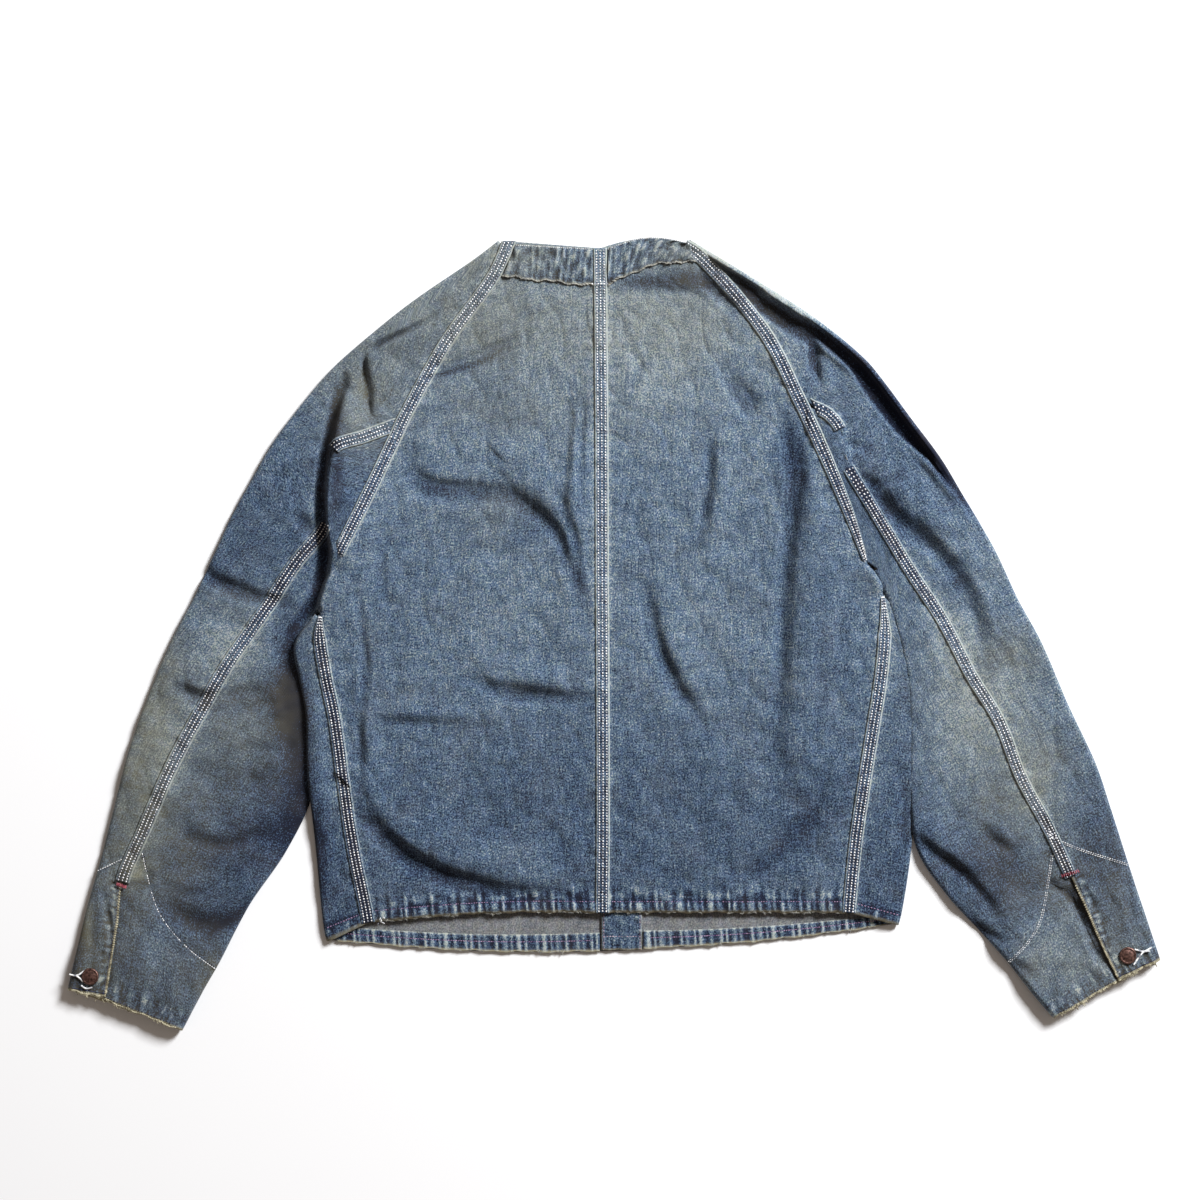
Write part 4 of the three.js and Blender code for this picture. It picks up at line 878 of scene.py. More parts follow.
# A sleeve's four lines: back seam, outer edge, inner edge, and the seam on the under side,
# which goes on as the front's raglan seam.
def sleeve_lines(plan):
    steps = plan["sleeve_steps"]
    tube = sum(steps)
    seam = trace([*plan["sleeve_seam"], *plan["armpit_seam"]], [*steps, *plan["armpit_steps"]])
    outer = trace([*plan["outer"], *plan["armpit_outer"], *plan["raglan_outer"]],
                  [*steps, *plan["armpit_steps"], 1, *plan["raglan_steps"][3:]])
    inner = trace(plan["inner"], steps)
    rows = np.arange(tube + 1)
    shares = np.interp(rows, np.concatenate([[0], np.cumsum(steps)]), UNDER_SHARES)
    below = at(outer, rows) + (at(inner, rows) - at(outer, rows)) * shares[:, None]
    front = trace([below[-1], *plan["front_raglan"]], FRONT_RAGLAN_STEPS, first=tube)
    lower = joined((rows, below), (front[0][1:], front[1][1:]))
    slit = sum(steps[:SLIT_STEPS])
    return {"seam": seam, "outer": outer, "inner": inner, "lower": lower, "tube": tube, "slit": slit}


# The roll over a folded edge: turn goes from 0 on the upper side to 1 on the floor.
def over_edge(start, out, high, turn):
    angle = np.pi * (0.5 - turn)
    flat = start + out * (EDGE_ROUND * np.cos(angle))[:, None]
    return (*flat.T, high / 2 * (1 + np.sin(angle)))


# A piece that rolls over an edge lies on top first, then round the roll, then on the floor.
def rolled(share, top_end, roll_end, top, roll, floor):
    return [np.where(share <= top_end, upper, np.where(share >= roll_end, lower, round_edge))
            for upper, round_edge, lower in zip(top, roll, floor)]


def make_front(label, plan):
    side, opening = plan["side"], FRONT_EDGES[label]
    side_seam, body_edge, body_top = plan["side_seam"], plan["body_edge"], plan["body_top"]
    lines = plan["lines"] = sleeve_lines(plan)

    def floor_from(row):
        start = at(body_edge, row) - EDGE_ROUND * out_of(body_edge, row, side)
        above = row - SIDE_TOP + lines["tube"]
        climb = at(lines["lower"], above) - SEAM_GAP / 2 * out_of(lines["lower"], above, side)
        mix = np.clip(row - SIDE_TOP, 0, 1)[:, None]
        return start * (1 - mix) + climb * mix

    def floor_point(row, share):
        start = floor_from(row)
        end_y = FRONT_HEM + row / FRONT_ROWS * (FACING["top"] - FRONT_HEM)
        x = start[:, 0] + share * (opening - start[:, 0])
        y = start[:, 1] + share * (end_y - start[:, 1])
        dip = plan["front_hem"] * np.interp(row, [0, 1, 2], [1, 1, 0])
        past = np.clip(row - SIDE_TOP - 1, 0, None)
        dip = dip + NECK_DIP * np.sin(np.pi * past / (2 * (SIDE_TOP + 1)))
        y = y - dip * np.sin(np.pi * share)
        lap = FRONT_EDGES["left"]
        step = np.interp(x, [lap + FRONT_STEP["end"], lap + FRONT_STEP["start"]], [RAISE, 0])
        return x, y, step if side > 0 else np.zeros(len(x))

    def place_front(row, share):
        seam_row = np.minimum(row, SIDE_TOP)
        first = at(side_seam, seam_row) + SEAM_GAP / 2 * out_of(side_seam, seam_row, side)
        out = out_of(body_edge, seam_row, side)
        start = at(body_edge, seam_row) - EDGE_ROUND * out
        part = part_of(share, 0, TOP_PART)
        x, y = (first + (start - first) * part[:, None]).T
        width = np.linalg.norm(start - first, axis=1)
        away = part * width
        along = length_at(side_seam, seam_row)
        ridges, rubbed, pale = beside_fell(
            along - 0.35 * away, away, 6.0 + side, wide=5, edge=7.5,
            fading=np.clip((width - away) / 6, 0, 1))
        waves = rope(x - 0.1 * along, 8.2, 3.0)
        band = up_to(along, HEM_BAND, 0.8)
        z = body_top(x, y) + ridges
        z = z + np.clip((width - away) / 4, 0, 1) * band * (0.7 + 0.55 * waves)
        roll = over_edge(start, out, body_top(*start.T), part_of(share, TOP_PART, ROLL_PART))
        floor = floor_point(row, part_of(share, ROLL_PART, 1))
        off_floor = share < ROLL_PART
        rub = np.where(share <= TOP_PART, rubbed + pale, 0.05)
        rub = rub + off_floor * (band * puckers(waves) - 0.6 * near(along, HEM_BAND + 1.4, 1.6))
        bare = off_floor * 0.6 * near(along, 0, 1.5)
        points = rolled(share, TOP_PART, ROLL_PART, (x, y, z), roll, floor)
        return np.stack(points, -1), {"rub": rub, "bare": bare, "fade": -0.03}

    def above_side_seam(row, share):
        return (row > SIDE_TOP) & (share < ROLL_PART)

    rows = even_rows(side_seam, [0, 1, SIDE_TOP], 4.0)
    rows = np.concatenate([rows, np.linspace(SIDE_TOP, FRONT_ROWS, 49)[1:]])
    columns = np.concatenate([np.linspace(0, TOP_PART, 13), np.linspace(TOP_PART, ROLL_PART, 11)[1:],
                              np.linspace(ROLL_PART, 1, 61)[1:]])
    made = lay_cloth(f"cloth_front_{label}", rows, columns, place_front, side < 0,
                     drop=above_side_seam)
    fit("front", f"front_{label}", made)

    # The hem, turned up to the inside and sewn with one row.
    stop = FRONT_EDGES["right"] - CLOTH if side < 0 else FRONT_EDGES["left"] + FRONT_STEP["end"]

    def place_turn_up(row, share):
        from_x = floor_from(row)[:, 0]
        first = FRONT_INSET / np.abs(opening - from_x)
        last = (stop - from_x) / (opening - from_x)
        x, y, z = floor_point(row, first + share * (last - first))
        waves = rope(x + 1.2 * row, HEM_PITCH, 5.0 + side)
        seam = near(row, TURN_UP_ROW, 0.05)
        swell = np.sin(np.pi * np.clip(row, 0.04, 0.96))
        z = z + RAISE + CLOTH + 0.4 + 0.55 * waves * swell - 0.5 * seam - 0.5 * near(row, 1, 0.06)
        y = y + near(row, 0, 0.1) * (0.5 * np.sin(x / 3.3) + 0.5 * np.sin(x / 8.1))
        rub = 1.4 * puckers(waves) * np.where(row > 0.62, 0.8, 1.0) - 0.35 * seam
        rub = rub + 0.7 * near(row, 1, 0.07)
        bare = 0.8 * near(row, 0, 0.1) + 0.3 * near(row, 1, 0.05)
        return np.stack([x, y, z], -1), {"rub": rub, "bare": bare, "fade": 0.14}

    made = lay_cloth(f"cloth_front_hem_{label}", np.linspace(0, 1, 21), np.linspace(0, 1, 181),
                     place_turn_up, side > 0, wall=1.0)
    fit("turn up", f"front_hem_{label}", made)
    plan["place_front"], plan["turn_up"] = place_front, place_turn_up


for label, plan in HALVES.items():
    make_front(label, plan)

# The facing is a narrow strip of the same denim, sewn flat inside the front opening with pink
# thread. Only its end shows, below the back's hem, puckered along all three rows.
FACING_SHOWN = 45


def place_facing(row, share):
    x = FACING["inner"] + share * (FACING["outer"] - FACING["inner"])
    y = FRONT_HEM + SEAM_GAP + row
    from_middle = np.abs(share - 0.5)
    waves = rope(y, 7.5, 1.4) * near(from_middle, 0.43, 0.08)
    hem = rope(x, 7.4, 0.6) * np.exp(-(row / 14) ** 4) + 0.5 * unevenness(x, y, 14, 44)
    low, sides = near(row, 0, 1.2), near(from_middle, 0.5, 0.03)
    z = 2 * RAISE + CLOTH + 0.35 * waves + 0.35 * hem - 0.6 * low - 0.5 * sides
    y = y + low * 0.5 * np.sin(x / 3)
    return np.stack([x, y, z], -1), {"rub": 0.5 * waves + 0.5 * hem, "bare": 0.8 * low + 0.3 * sides,
                                     "fade": 0.06}


facing_rows = np.concatenate([np.linspace(0, FACING_SHOWN, FACING_SHOWN + 1),
                              np.linspace(FACING_SHOWN, FACING["top"] - FRONT_HEM, 41)[1:]])
made = lay_cloth("cloth_facing", facing_rows, np.linspace(0, 1, 35), place_facing, False, wall=1.0)
fit("facing", "front_facing", made)

# A sleeve is cut in two. The top piece goes from the back seam over the outer edge to the
# seam below and on up to the neck; the under piece goes over the inner edge. At the cuff the
# seam is left open, and the top piece laps over the under one.
LAP = 15
LAP_DROP = {"left": 2.2, "right": 4.2}
LAP_PAINTED_SHADOW = {"left": 0.15, "right": 0.6}
TUCK = 3
TUCK_DROP = 1.7
CUFF_HEM = 7
RIM_HIGH = 13.5
RIM_WIDE = 5.5
RIM_PAINTED_LIT_TO = 222
MEETING = RAGLAN_STEPS[0] + RAGLAN_STEPS[1]
FLAT_PART, BEND_PART = 0.58, 0.72


# The sewn edge at the cuff, from how far up it is: its height, its rub and its bare yarn.
def cuff_finish(along, reach, seed):
    waves = rope(reach, 7.6, seed)
    band, above = up_to(along, CUFF_HEM, 0.7), near(along, 14, 7)
    row = near(along, CUFF_HEM, 1.3)
    blotch = unevenness(reach, 0.5 * along, 11, 27)
    rise = band * (0.5 + 0.5 * waves) - 0.5 * row + 0.5 * above * waves - 0.8 * near(along, 0, 1.3)
    rub = band * (0.9 * waves - 0.1) - 0.4 * row + above * (0.7 * waves + 0.5 * blotch)
    return rise, rub, 1.1 * near(along, 0, 1.9)


# The upper stretch of a sleeve piece, from its seam to where the roll starts.
def upper_part(share, first, start):
    width = np.linalg.norm(start - first, axis=1)
    part = part_of(share, 0, FLAT_PART)
    x, y = (first + (start - first) * part[:, None]).T
    return x, y, part * width, width


# A whole sleeve piece: its upper stretch, the roll and the floor, with a ragged cuff.
def round_sleeve(share, along, top, start, out, high, lower):
    roll = over_edge(start, out, high, part_of(share, FLAT_PART, BEND_PART))
    below = start + (lower - start) * part_of(share, BEND_PART, 1)[:, None]
    x, y, z = rolled(share, FLAT_PART, BEND_PART, top, roll, (*below.T, 0))
    y = y + near(along, 0, 2.5) * (0.6 * np.sin(x / 2.7) + 0.5 * np.sin(x / 6.3))
    return np.stack([x, y, z], -1)


def make_sleeve(label, plan):
    side, lines, raglan = plan["side"], plan["lines"], plan["raglan_seam"]
    tube, slit, under_seam = lines["tube"], lines["slit"], lines["seam"]
    seam_end = tube + sum(plan["armpit_steps"])
    last = seam_end + 1 + sum(RAGLAN_STEPS) - MEETING
    above = raglan[0] >= MEETING
    top_line = joined(under_seam, (raglan[0][above] - MEETING + seam_end + 1, raglan[1][above]))
    sleeve_top = plan["sleeve_top"] = top_of(plan, "sleeve")

    # Along the right shoulder the folded edge stands up as a rim.
    def rim_of(row):
        return max(side, 0) * np.interp(row, [tube - 1, tube + 1, last - 2.5, last - 1], [0, 1, 1, 0])

    def place_top(row, share):
        out = out_of(lines["outer"], row, side)
        start = at(lines["outer"], row) - EDGE_ROUND * out
        first = at(top_line, row) + SEAM_GAP / 2 * out_of(top_line, row, side)
        lower = at(lines["lower"], row) + SEAM_GAP / 2 * out_of(lines["lower"], row, side)
        x, y, away, width = upper_part(share, first, start)
        along = length_at(top_line, row)
        fading = np.clip((width - away) / 8, 0, 1)
        ridges, rubbed, pale = beside_fell(along + 0.35 * away, away, 7.0 + side, fading=fading)
        rise, cuff_rub, bare = cuff_finish(along, away, 2.0 + side)
        lip = rim_of(row) * np.clip((away - width + RIM_WIDE) / RIM_WIDE, 0, 1) ** 1.5
        z = np.maximum(sleeve_top(x, y) + ridges + rise * fading, lip * RIM_HIGH)
        # The slit's cut edge is bent down, and the sewing beside it has puckered the cloth.
        flap = (row < slit + 0.3) * near(away, 0, 1.6)
        pucker = rope(along, 7.5, 1.0) + 0.7 * unevenness(along, away, 9, 19)
        slit_rows = (row < slit) * near(away, 7, 5.0)
        z = z - 0.4 * flap + 0.4 * slit_rows * pucker
        rub = rubbed + pale + cuff_rub + 1.1 * slit_rows * pucker
        high = np.maximum(sleeve_top(*start.T), rim_of(row) * RIM_HIGH)
        points = round_sleeve(share, along, (x, y, z), start, out, high, lower)
        edge = near(share, (FLAT_PART + BEND_PART) / 2, 0.06)
        # The rim is painted lighter near the neck, a painted highlight, and darker further down,
        # painted shade.
        crest = rim_of(row) * (share > 0.93 * FLAT_PART)
        tone = crest * (0.55 * up_to(points[:, 0], RIM_PAINTED_LIT_TO, 10) - 0.3)
        return points, {"rub": rub * (share < BEND_PART) + 0.1 * edge,
                        "bare": np.maximum(bare, 0.7 * flap), "fade": 0.06 * edge + tone}

    rows = even_rows(lines["outer"], [0, slit, tube, seam_end, seam_end + 1, last], CELL)
    columns = np.concatenate([np.linspace(0, FLAT_PART, 34), np.linspace(FLAT_PART, BEND_PART, 12)[1:],
                              np.linspace(BEND_PART, 1, 13)[1:]])
    made = lay_cloth(f"cloth_sleeve_top_{label}", rows, columns, place_top, side < 0, "sleeve")
    fit("sleeve top", f"sleeve_top_{label}", made)

    # The under piece laps under the top one at the slit, and is tucked in at the armpit.
    tuck_from, tuck_to = tube + plan["sleeve_fell_top"], tube + plan["stub_start"]

    def place_under(row, share):
        tube_row = np.minimum(row, tube)
        far_row = np.clip(row - tube - 1, 0, None)
        inward = -out_of(lines["inner"], tube_row, side)
        edge_start = at(lines["inner"], tube_row) - EDGE_ROUND * inward
        far = at(raglan, far_row) + SEAM_GAP / 2 * out_of(raglan, far_row, side)
        mix = np.clip(row - tube, 0, 1)[:, None]
        start = edge_start * (1 - mix) + far * mix
        in_slit = up_to(row, slit + 0.05, 0.05)
        in_tuck = up_to(tuck_from + 0.15, row, 0.03) * up_to(row, tuck_to - 0.15, 0.03)
        reach = LAP * in_slit + TUCK * in_tuck - SEAM_GAP / 2 * (1 - in_slit) * (1 - in_tuck)
        first = at(under_seam, row) + reach[:, None] * out_of(under_seam, row, side)
        lower = at(lines["lower"], tube_row) - SEAM_GAP / 2 * out_of(lines["lower"], tube_row, side)
        x, y, away, width = upper_part(share, first, start)
        fading = np.clip((width - away) / 8, 0, 1)
        away = away - reach
        along = length_at(under_seam, row)
        ridges, rubbed, pale = beside_fell(along - 0.35 * away, away, 8.0 + side, fading=fading)
        rise, cuff_rub, bare = cuff_finish(along, away, 3.0 + side)
        z = sleeve_top(x, y) + ridges - LAP_DROP[label] * in_slit * up_to(away, 2.5, 1.6)
        z = z - TUCK_DROP * in_tuck * up_to(away, 0.6, 0.4) + rise * fading
        rub = rubbed + (1 - in_slit) * pale + cuff_rub
        points = round_sleeve(share, along, (x, y, z), start, inward, sleeve_top(*start.T), lower)
        # Beside the flap's edge the under piece is painted darker: painted shadow of the flap.
        flap_shadow = LAP_PAINTED_SHADOW[label] * in_slit * up_to(away, 2, 1.2)
        return points, {"rub": rub * (share < BEND_PART), "bare": bare, "fade": -0.02 - flap_shadow}

    def past_tube(row, share):
        return (row > tube) & (share > FLAT_PART)

    joints = {0, slit, slit + 0.2, tube, tube + 1, seam_end, tuck_from, tuck_from + 0.3,
              tuck_to - 0.3, tuck_to}
    rows = even_rows(under_seam, sorted(joints), CELL)
    made = lay_cloth(f"cloth_sleeve_under_{label}", rows, columns, place_under, side > 0, "sleeve",
                     drop=past_tube)
    fit("sleeve under", f"sleeve_under_{label}", made)
    plan["place_top"], plan["place_under"] = place_top, place_under


for label, plan in HALVES.items():
    make_sleeve(label, plan)

# The seams are felled: the edges are folded into each other and sewn flat with three rows of
# white cotton. The band stands one layer above the panels, pale at its edges.
FELL = 1.2
ROW_SPACING = 3.7
ROWS = (-1, 0, 1)
STITCH_PITCH = 2.8


# A point of a band's outer surface, with its stitch holes, ridges and rim.
def band_point(band, row, across):
    line, half, foot = band["line"], band["half"], band.get("foot_half", 1)
    from_foot, from_top = row - band["first"], band["last"] - row
    narrow = np.interp(from_foot, [0, 4], [foot, 1])
    inner = np.interp(from_foot, [0, 2], [0.4 + 0.6 * foot, 1])
    pointed = np.interp(from_top, [0, 1.2], [band.get("top_half", 1), 1])
    aside = across * pointed * np.where(across > 0, narrow, inner)
    flat = at(line, row) + out_of(line, row, band["side"]) * aside[:, None]
    along = length_at(line, row)
    ahead = at(line, row + 0.1) - at(line, row - 0.1)
    ahead /= np.maximum(np.linalg.norm(ahead, axis=1, keepdims=True), 1e-9)
    # The ends are cut at a slant, or reach on under the next cloth.
    slide = band.get("top_slant", 0) * across / half + band.get("reach", 0)
    slide = slide * np.clip(1 - from_top, 0, 1)
    slant = np.clip(across / half, -0.2, 1) + 0.2
    slide = slide + band.get("foot_slant", 0) * np.clip(1 - from_foot, 0, 1) * slant
    x, y = (flat + ahead * slide[:, None]).T
    groove = sum(near(across, k * ROW_SPACING * half / FELL_HALF, 0.8) for k in ROWS)
    waves = rope(along + 0.6 * across, 5.2, 1.0)
    rim = np.abs(across) / half
    inside, outside = band["tops"]
    z = inside(x, y)
    if outside is not inside:
        z = np.where(across > 0, outside(x, y), z)
    z = z + SEAM_GAP + FELL + 0.2
    z = z - 0.9 * rim ** 14 + 0.35 * near(rim, 0.84, 0.09) - 0.3 * groove
    for end in band.get("tucked", ()):
        z = z - 2.4 * near(along, length_at(line, end), band.get("tuck_length", 2.8))
    z = z + 0.18 * waves * (1 - rim ** 4)
    return np.stack([x, y, z], -1), groove, waves, rim


SLEEVE_HALF = {"left": 7.5, "right": 6.5}
STUB_HALF = {"left": 7, "right": 6.5}
bands = {"fell_back": {
    "line": middle, "first": 0, "last": NECK_ROW, "half": FELL_HALF, "side": 1, "cloth": "body",
    "on": ["back_left", "back_right"], "tops": [HALVES["left"]["body_top"]] * 2}}
for label, plan in HALVES.items():
    lines = plan["lines"]
    seam_end = lines["tube"] + sum(plan["armpit_steps"])
    fell_end = lines["tube"] + plan["sleeve_fell_top"]
    body = {"side": plan["side"], "half": FELL_HALF, "cloth": "body", "first": 0}
    sleeve = {
        "side": plan["side"], "cloth": "sleeve", "line": lines["seam"],
        "on": [f"sleeve_top_{label}", f"sleeve_under_{label}"], "tops": [plan["sleeve_top"]] * 2}
    bands[f"fell_side_{label}"] = {
        **body, "line": plan["side_seam"], "last": SIDE_TOP,
        "on": [f"back_{label}", f"front_{label}"], "tops": [plan["body_top"]] * 2,
        "tucked": [SIDE_TOP], "top_half": 0.25}
    bands[f"fell_raglan_{label}"] = {
        **body, "line": plan["raglan_seam"], "last": sum(RAGLAN_STEPS),
        "on": [f"back_{label}", f"sleeve_top_{label}"],
        "tops": [plan["body_top"], plan["sleeve_top"]], "tucked": [0],
        "top_slant": plan["top_slant"], "foot_slant": plan["foot_slant"],
        "foot_half": plan["foot_half"]}
    bands[f"fell_sleeve_{label}"] = {
        **sleeve, "first": lines["slit"], "last": fell_end, "half": SLEEVE_HALF[label],
        "reach": 14 * plan["sleeve_fell_top"], "tucked": [fell_end]}
    bands[f"fell_stub_{label}"] = {
        **sleeve, "first": lines["tube"] + plan["stub_start"], "last": seam_end,
        "half": STUB_HALF[label], "top_slant": plan["stub_slant"], "reach": 4.5,
        "tucked": [seam_end + 0.5], "tuck_length": 1.6}

# Washing has bleached some of the bands more than others.
BLEACHED = {"fell_back": 0.26, "fell_raglan_left": 0.12, "fell_side_left": -0.12,
            "fell_side_right": 0.16, "fell_stub_left": 0.3, "fell_stub_right": 0.2}


def make_band(name, band):
    side, line, half = band["side"], band["line"], band["half"]
    bleached = BLEACHED.get(name, 0)

    def place_fell(row, share):
        points, groove, waves, rim = band_point(band, row, half * (2 * share - 1))
        light_side = np.clip(side * (2 * share - 1), 0, 1)
        rub = 1.2 * near(rim, 0.9, 0.14) - 0.5 * np.clip(groove, 0, 1) + 0.35 * waves
        return points, {"rub": rub + 0.3 * light_side * rim ** 3,
                        "fade": bleached - 0.34 * (1 - rim ** 4),
                        "bare": 0.1 * near(rim, 0.95, 0.07), "soil": -0.1}

    rows = even_rows(line, [band["first"], band["last"]], 1.5)
    made = lay_cloth(f"cloth_{name}", rows, np.linspace(0, 1, 15), place_fell, side < 0,
                     band["cloth"], wall=FELL)
    fit("fell", name, made)
    low, high = length_at(line, np.array([band["first"], band["last"]]))
    band["stitches"] = []
    for k in ROWS:
        spots = np.arange(low + 1.6 + (0.3 if k == 0 else 0), high - 1, STITCH_PITCH)
        row = np.interp(spots, length_at(line, line[0]), line[0])
        across = np.full(len(row), k * ROW_SPACING * half / FELL_HALF)
        band["stitches"].append(band_point(band, row, across)[0])


for name, band in bands.items():
    make_band(name, band)


# The thread is thick white cotton, each stitch about 2 mm long and sunk in the cloth at both
# ends; wear has greyed it. Its skin wanders between two shades, as a used yarn's does.
def mottled(name, scale, detail, shades, **skin):
    material = bpy.data.materials.new(name)
    material.use_nodes = True
    tree = material.node_tree
    surface = tree.nodes["Principled BSDF"]
    for key, value in skin.items():
        surface.inputs[key].default_value = value
    place = tree.nodes.new("ShaderNodeTexCoord")
    grime = add_node(tree, "ShaderNodeTexNoise", Scale=scale, Detail=detail)
    tone = tree.nodes.new("ShaderNodeValToRGB")
    for k, (position, shade) in enumerate(shades):
        tone.color_ramp.elements[k].position = position
        tone.color_ramp.elements[k].color = shade
    tree.links.new(place.outputs["Object"], grime.inputs["Vector"])
    tree.links.new(grime.outputs["Fac"], tone.inputs[0])
    tree.links.new(tone.outputs[0], surface.inputs["Base Color"])
    return material


COTTON_SHADES = ((0.34, srgb(150, 152, 164, LIT)), (0.58, srgb(250, 250, 248)))
cotton = mottled("white_cotton", 260, 2, COTTON_SHADES, Roughness=0.8, **{"Specular IOR Level": 0.25})


# One stitch: a small round-ended roll, 1 long and 1 across, as points and faces.
def bead(rings=4, sides=6):
    ball = bmesh.new()
    bmesh.ops.create_uvsphere(ball, u_segments=sides, v_segments=rings, radius=0.5)
    bmesh.ops.rotate(ball, verts=ball.verts, matrix=Matrix.Rotation(np.pi / 2, 3, "Y"))
    ball.verts.index_update()
    points = np.array([vert.co[:] for vert in ball.verts])
    faces = [[vert.index for vert in face.verts] for face in ball.faces]
    ball.free()
    return points, faces


# Stitches laid along paths of points, joined in one mesh. No two are quite alike.
STITCH_SIZES = (0.85, 1.12)
STITCH_LIFT = 0.2


def sew(name, paths, material, long=1.9, wide=1.65, tall=1.0, tilt=0.14, seed=11):
    shape, faces = bead()
    draw = np.random.default_rng(seed)
    points, polygons = [], []
    for path in paths:
        ahead = np.gradient(path, axis=0)
        ahead /= np.maximum(np.linalg.norm(ahead, axis=1, keepdims=True), 1e-9)
        cross = np.cross(np.array([0, 0, 1.0]), ahead)
        cross /= np.maximum(np.linalg.norm(cross, axis=1, keepdims=True), 1e-9)
        normal = np.cross(ahead, cross)
        lean = draw.normal(0, tilt, (len(path), 1))
        ahead, cross = ahead + cross * lean, cross - ahead * lean
        size = draw.uniform(*STITCH_SIZES, (len(path), 3)) * np.array([long, wide, tall])
        centre = path + normal * STITCH_LIFT
        made = (centre[:, None] + shape[None, :, 0, None] * size[:, None, 0:1] * ahead[:, None]
                + shape[None, :, 1, None] * size[:, None, 1:2] * cross[:, None]
                + shape[None, :, 2, None] * size[:, None, 2:3] * normal[:, None])
        for stitch in made:
            first = len(points) * len(shape)
            points.append(stitch)
            polygons += [[first + k for k in face] for face in faces]
    mesh = bpy.data.meshes.new(name)
    mesh.from_pydata(np.concatenate(points) * MM, [], polygons)
    mesh.materials.append(material)
    mesh.shade_smooth()
    piece = put_down(name, mesh)
    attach(piece, "root")


for name, band in bands.items():
    sew(f"thread_{name}", band["stitches"], cotton, seed=len(name))


# The hems and cuffs are sewn with one row each: faded purple thread along the hem, white
# along the cuffs and round the facing inside each slit.
def dyed(name, pale, dark):
    material = cotton.copy()
    material.name = name
    for node in material.node_tree.nodes:
        if node.type == "VALTORGB":
            node.color_ramp.elements[0].color = srgb(*dark, LIT)
            node.color_ramp.elements[1].color = srgb(*pale, LIT)
    return material


purple = dyed("purple_thread", (205, 170, 205), (96, 66, 120))


# Stitch places on a piece of cloth: so many across one of its rows, or up one of its columns.
def across_row(place, row, first, last, count):
    return place(np.full(count, row), np.linspace(first, last, count))[0]


def up_column(place, column, first, last, count):
    return place(np.linspace(first, last, count), np.full(count, column))[0]


def row_of_hem(line):
    return np.interp(HEM_BAND, length_at(line, line[0]), line[0])


for label, plan in HALVES.items():
    paths = [
        across_row(plan["place_back"], row_of_hem(middle), 0.028, 0.972, 87),
        across_row(plan["place_front"], row_of_hem(plan["side_seam"]), 0.04, TOP_PART, 13),
        across_row(plan["turn_up"], TURN_UP_ROW, 0.03, 0.97, 100),
    ]
    sew(f"thread_hem_{label}", paths, purple, long=2.0, wide=0.9, tall=0.7, seed=21)

FACING_STITCHES = [
    [(FACING["inner"] + 2.4, FRONT_HEM + 2), (FACING["inner"] + 2.4, FRONT_HEM + 60)],
    [(FACING["outer"] - 2.0, FRONT_HEM + 2), (FACING["outer"] - 2.0, FRONT_HEM + 60)],
    [(FACING["inner"] + 3, FRONT_HEM + 14), (FACING["outer"] - 3, FRONT_HEM + 14)],
]
paths = []
for (ax, ay), (bx, by) in FACING_STITCHES:
    count = round(np.hypot(bx - ax, by - ay) / 2.7)
    x, y = np.linspace(ax, bx, count), np.linspace(ay, by, count)
    share = (x - FACING["inner"]) / (FACING["outer"] - FACING["inner"])
    paths.append(place_facing(y - FRONT_HEM - SEAM_GAP, share)[0])
sew("thread_facing", paths, dyed("pink_thread", (226, 200, 214), (62, 48, 84)), long=2.0, wide=0.9,
    tall=0.7, seed=22)

# The cuffs' rows: one up along the slit's facing and one along the cuff. Beside the left one
# lies a dark row as painted shadow. Marks are in pixels of the photo, 1 px to the mm.
CUFF_ROWS = {
    "left": [
        [(143, 854), (148, 877), (157, 907), (166, 923), (190, 949), (217, 969)],
        [(141, 850), (120, 861), (97, 872)],
    ],
    "right": [
        [(1052, 856), (1049, 879), (1044, 907), (1040, 922), (1028, 942), (1009, 962)],
        [(1049, 837), (1084, 851), (1106, 858), (1129, 865)],
    ],
}
PHOTO_CENTRE = (614, 635)
cream = dyed("cream_yarn", (198, 190, 162), (122, 114, 92))
dark_thread_and_shadow = dyed("navy_thread", (70, 74, 104), (30, 34, 58))


def on_jacket(marks):
    return [(x - PHOTO_CENTRE[0], PHOTO_CENTRE[1] - y) for x, y in marks]


# Points at an even pitch on a smooth line over the cloth.
def run_over(marks, top, pitch, above=0.25):
    line = trace(marks, [1] * (len(marks) - 1))
    length = length_at(line, line[0])
    spots = np.interp(np.arange(0, length[-1], pitch), length, line[0])
    x, y = at(line, spots).T
    return np.stack([x, y, top(x, y) + above], -1)


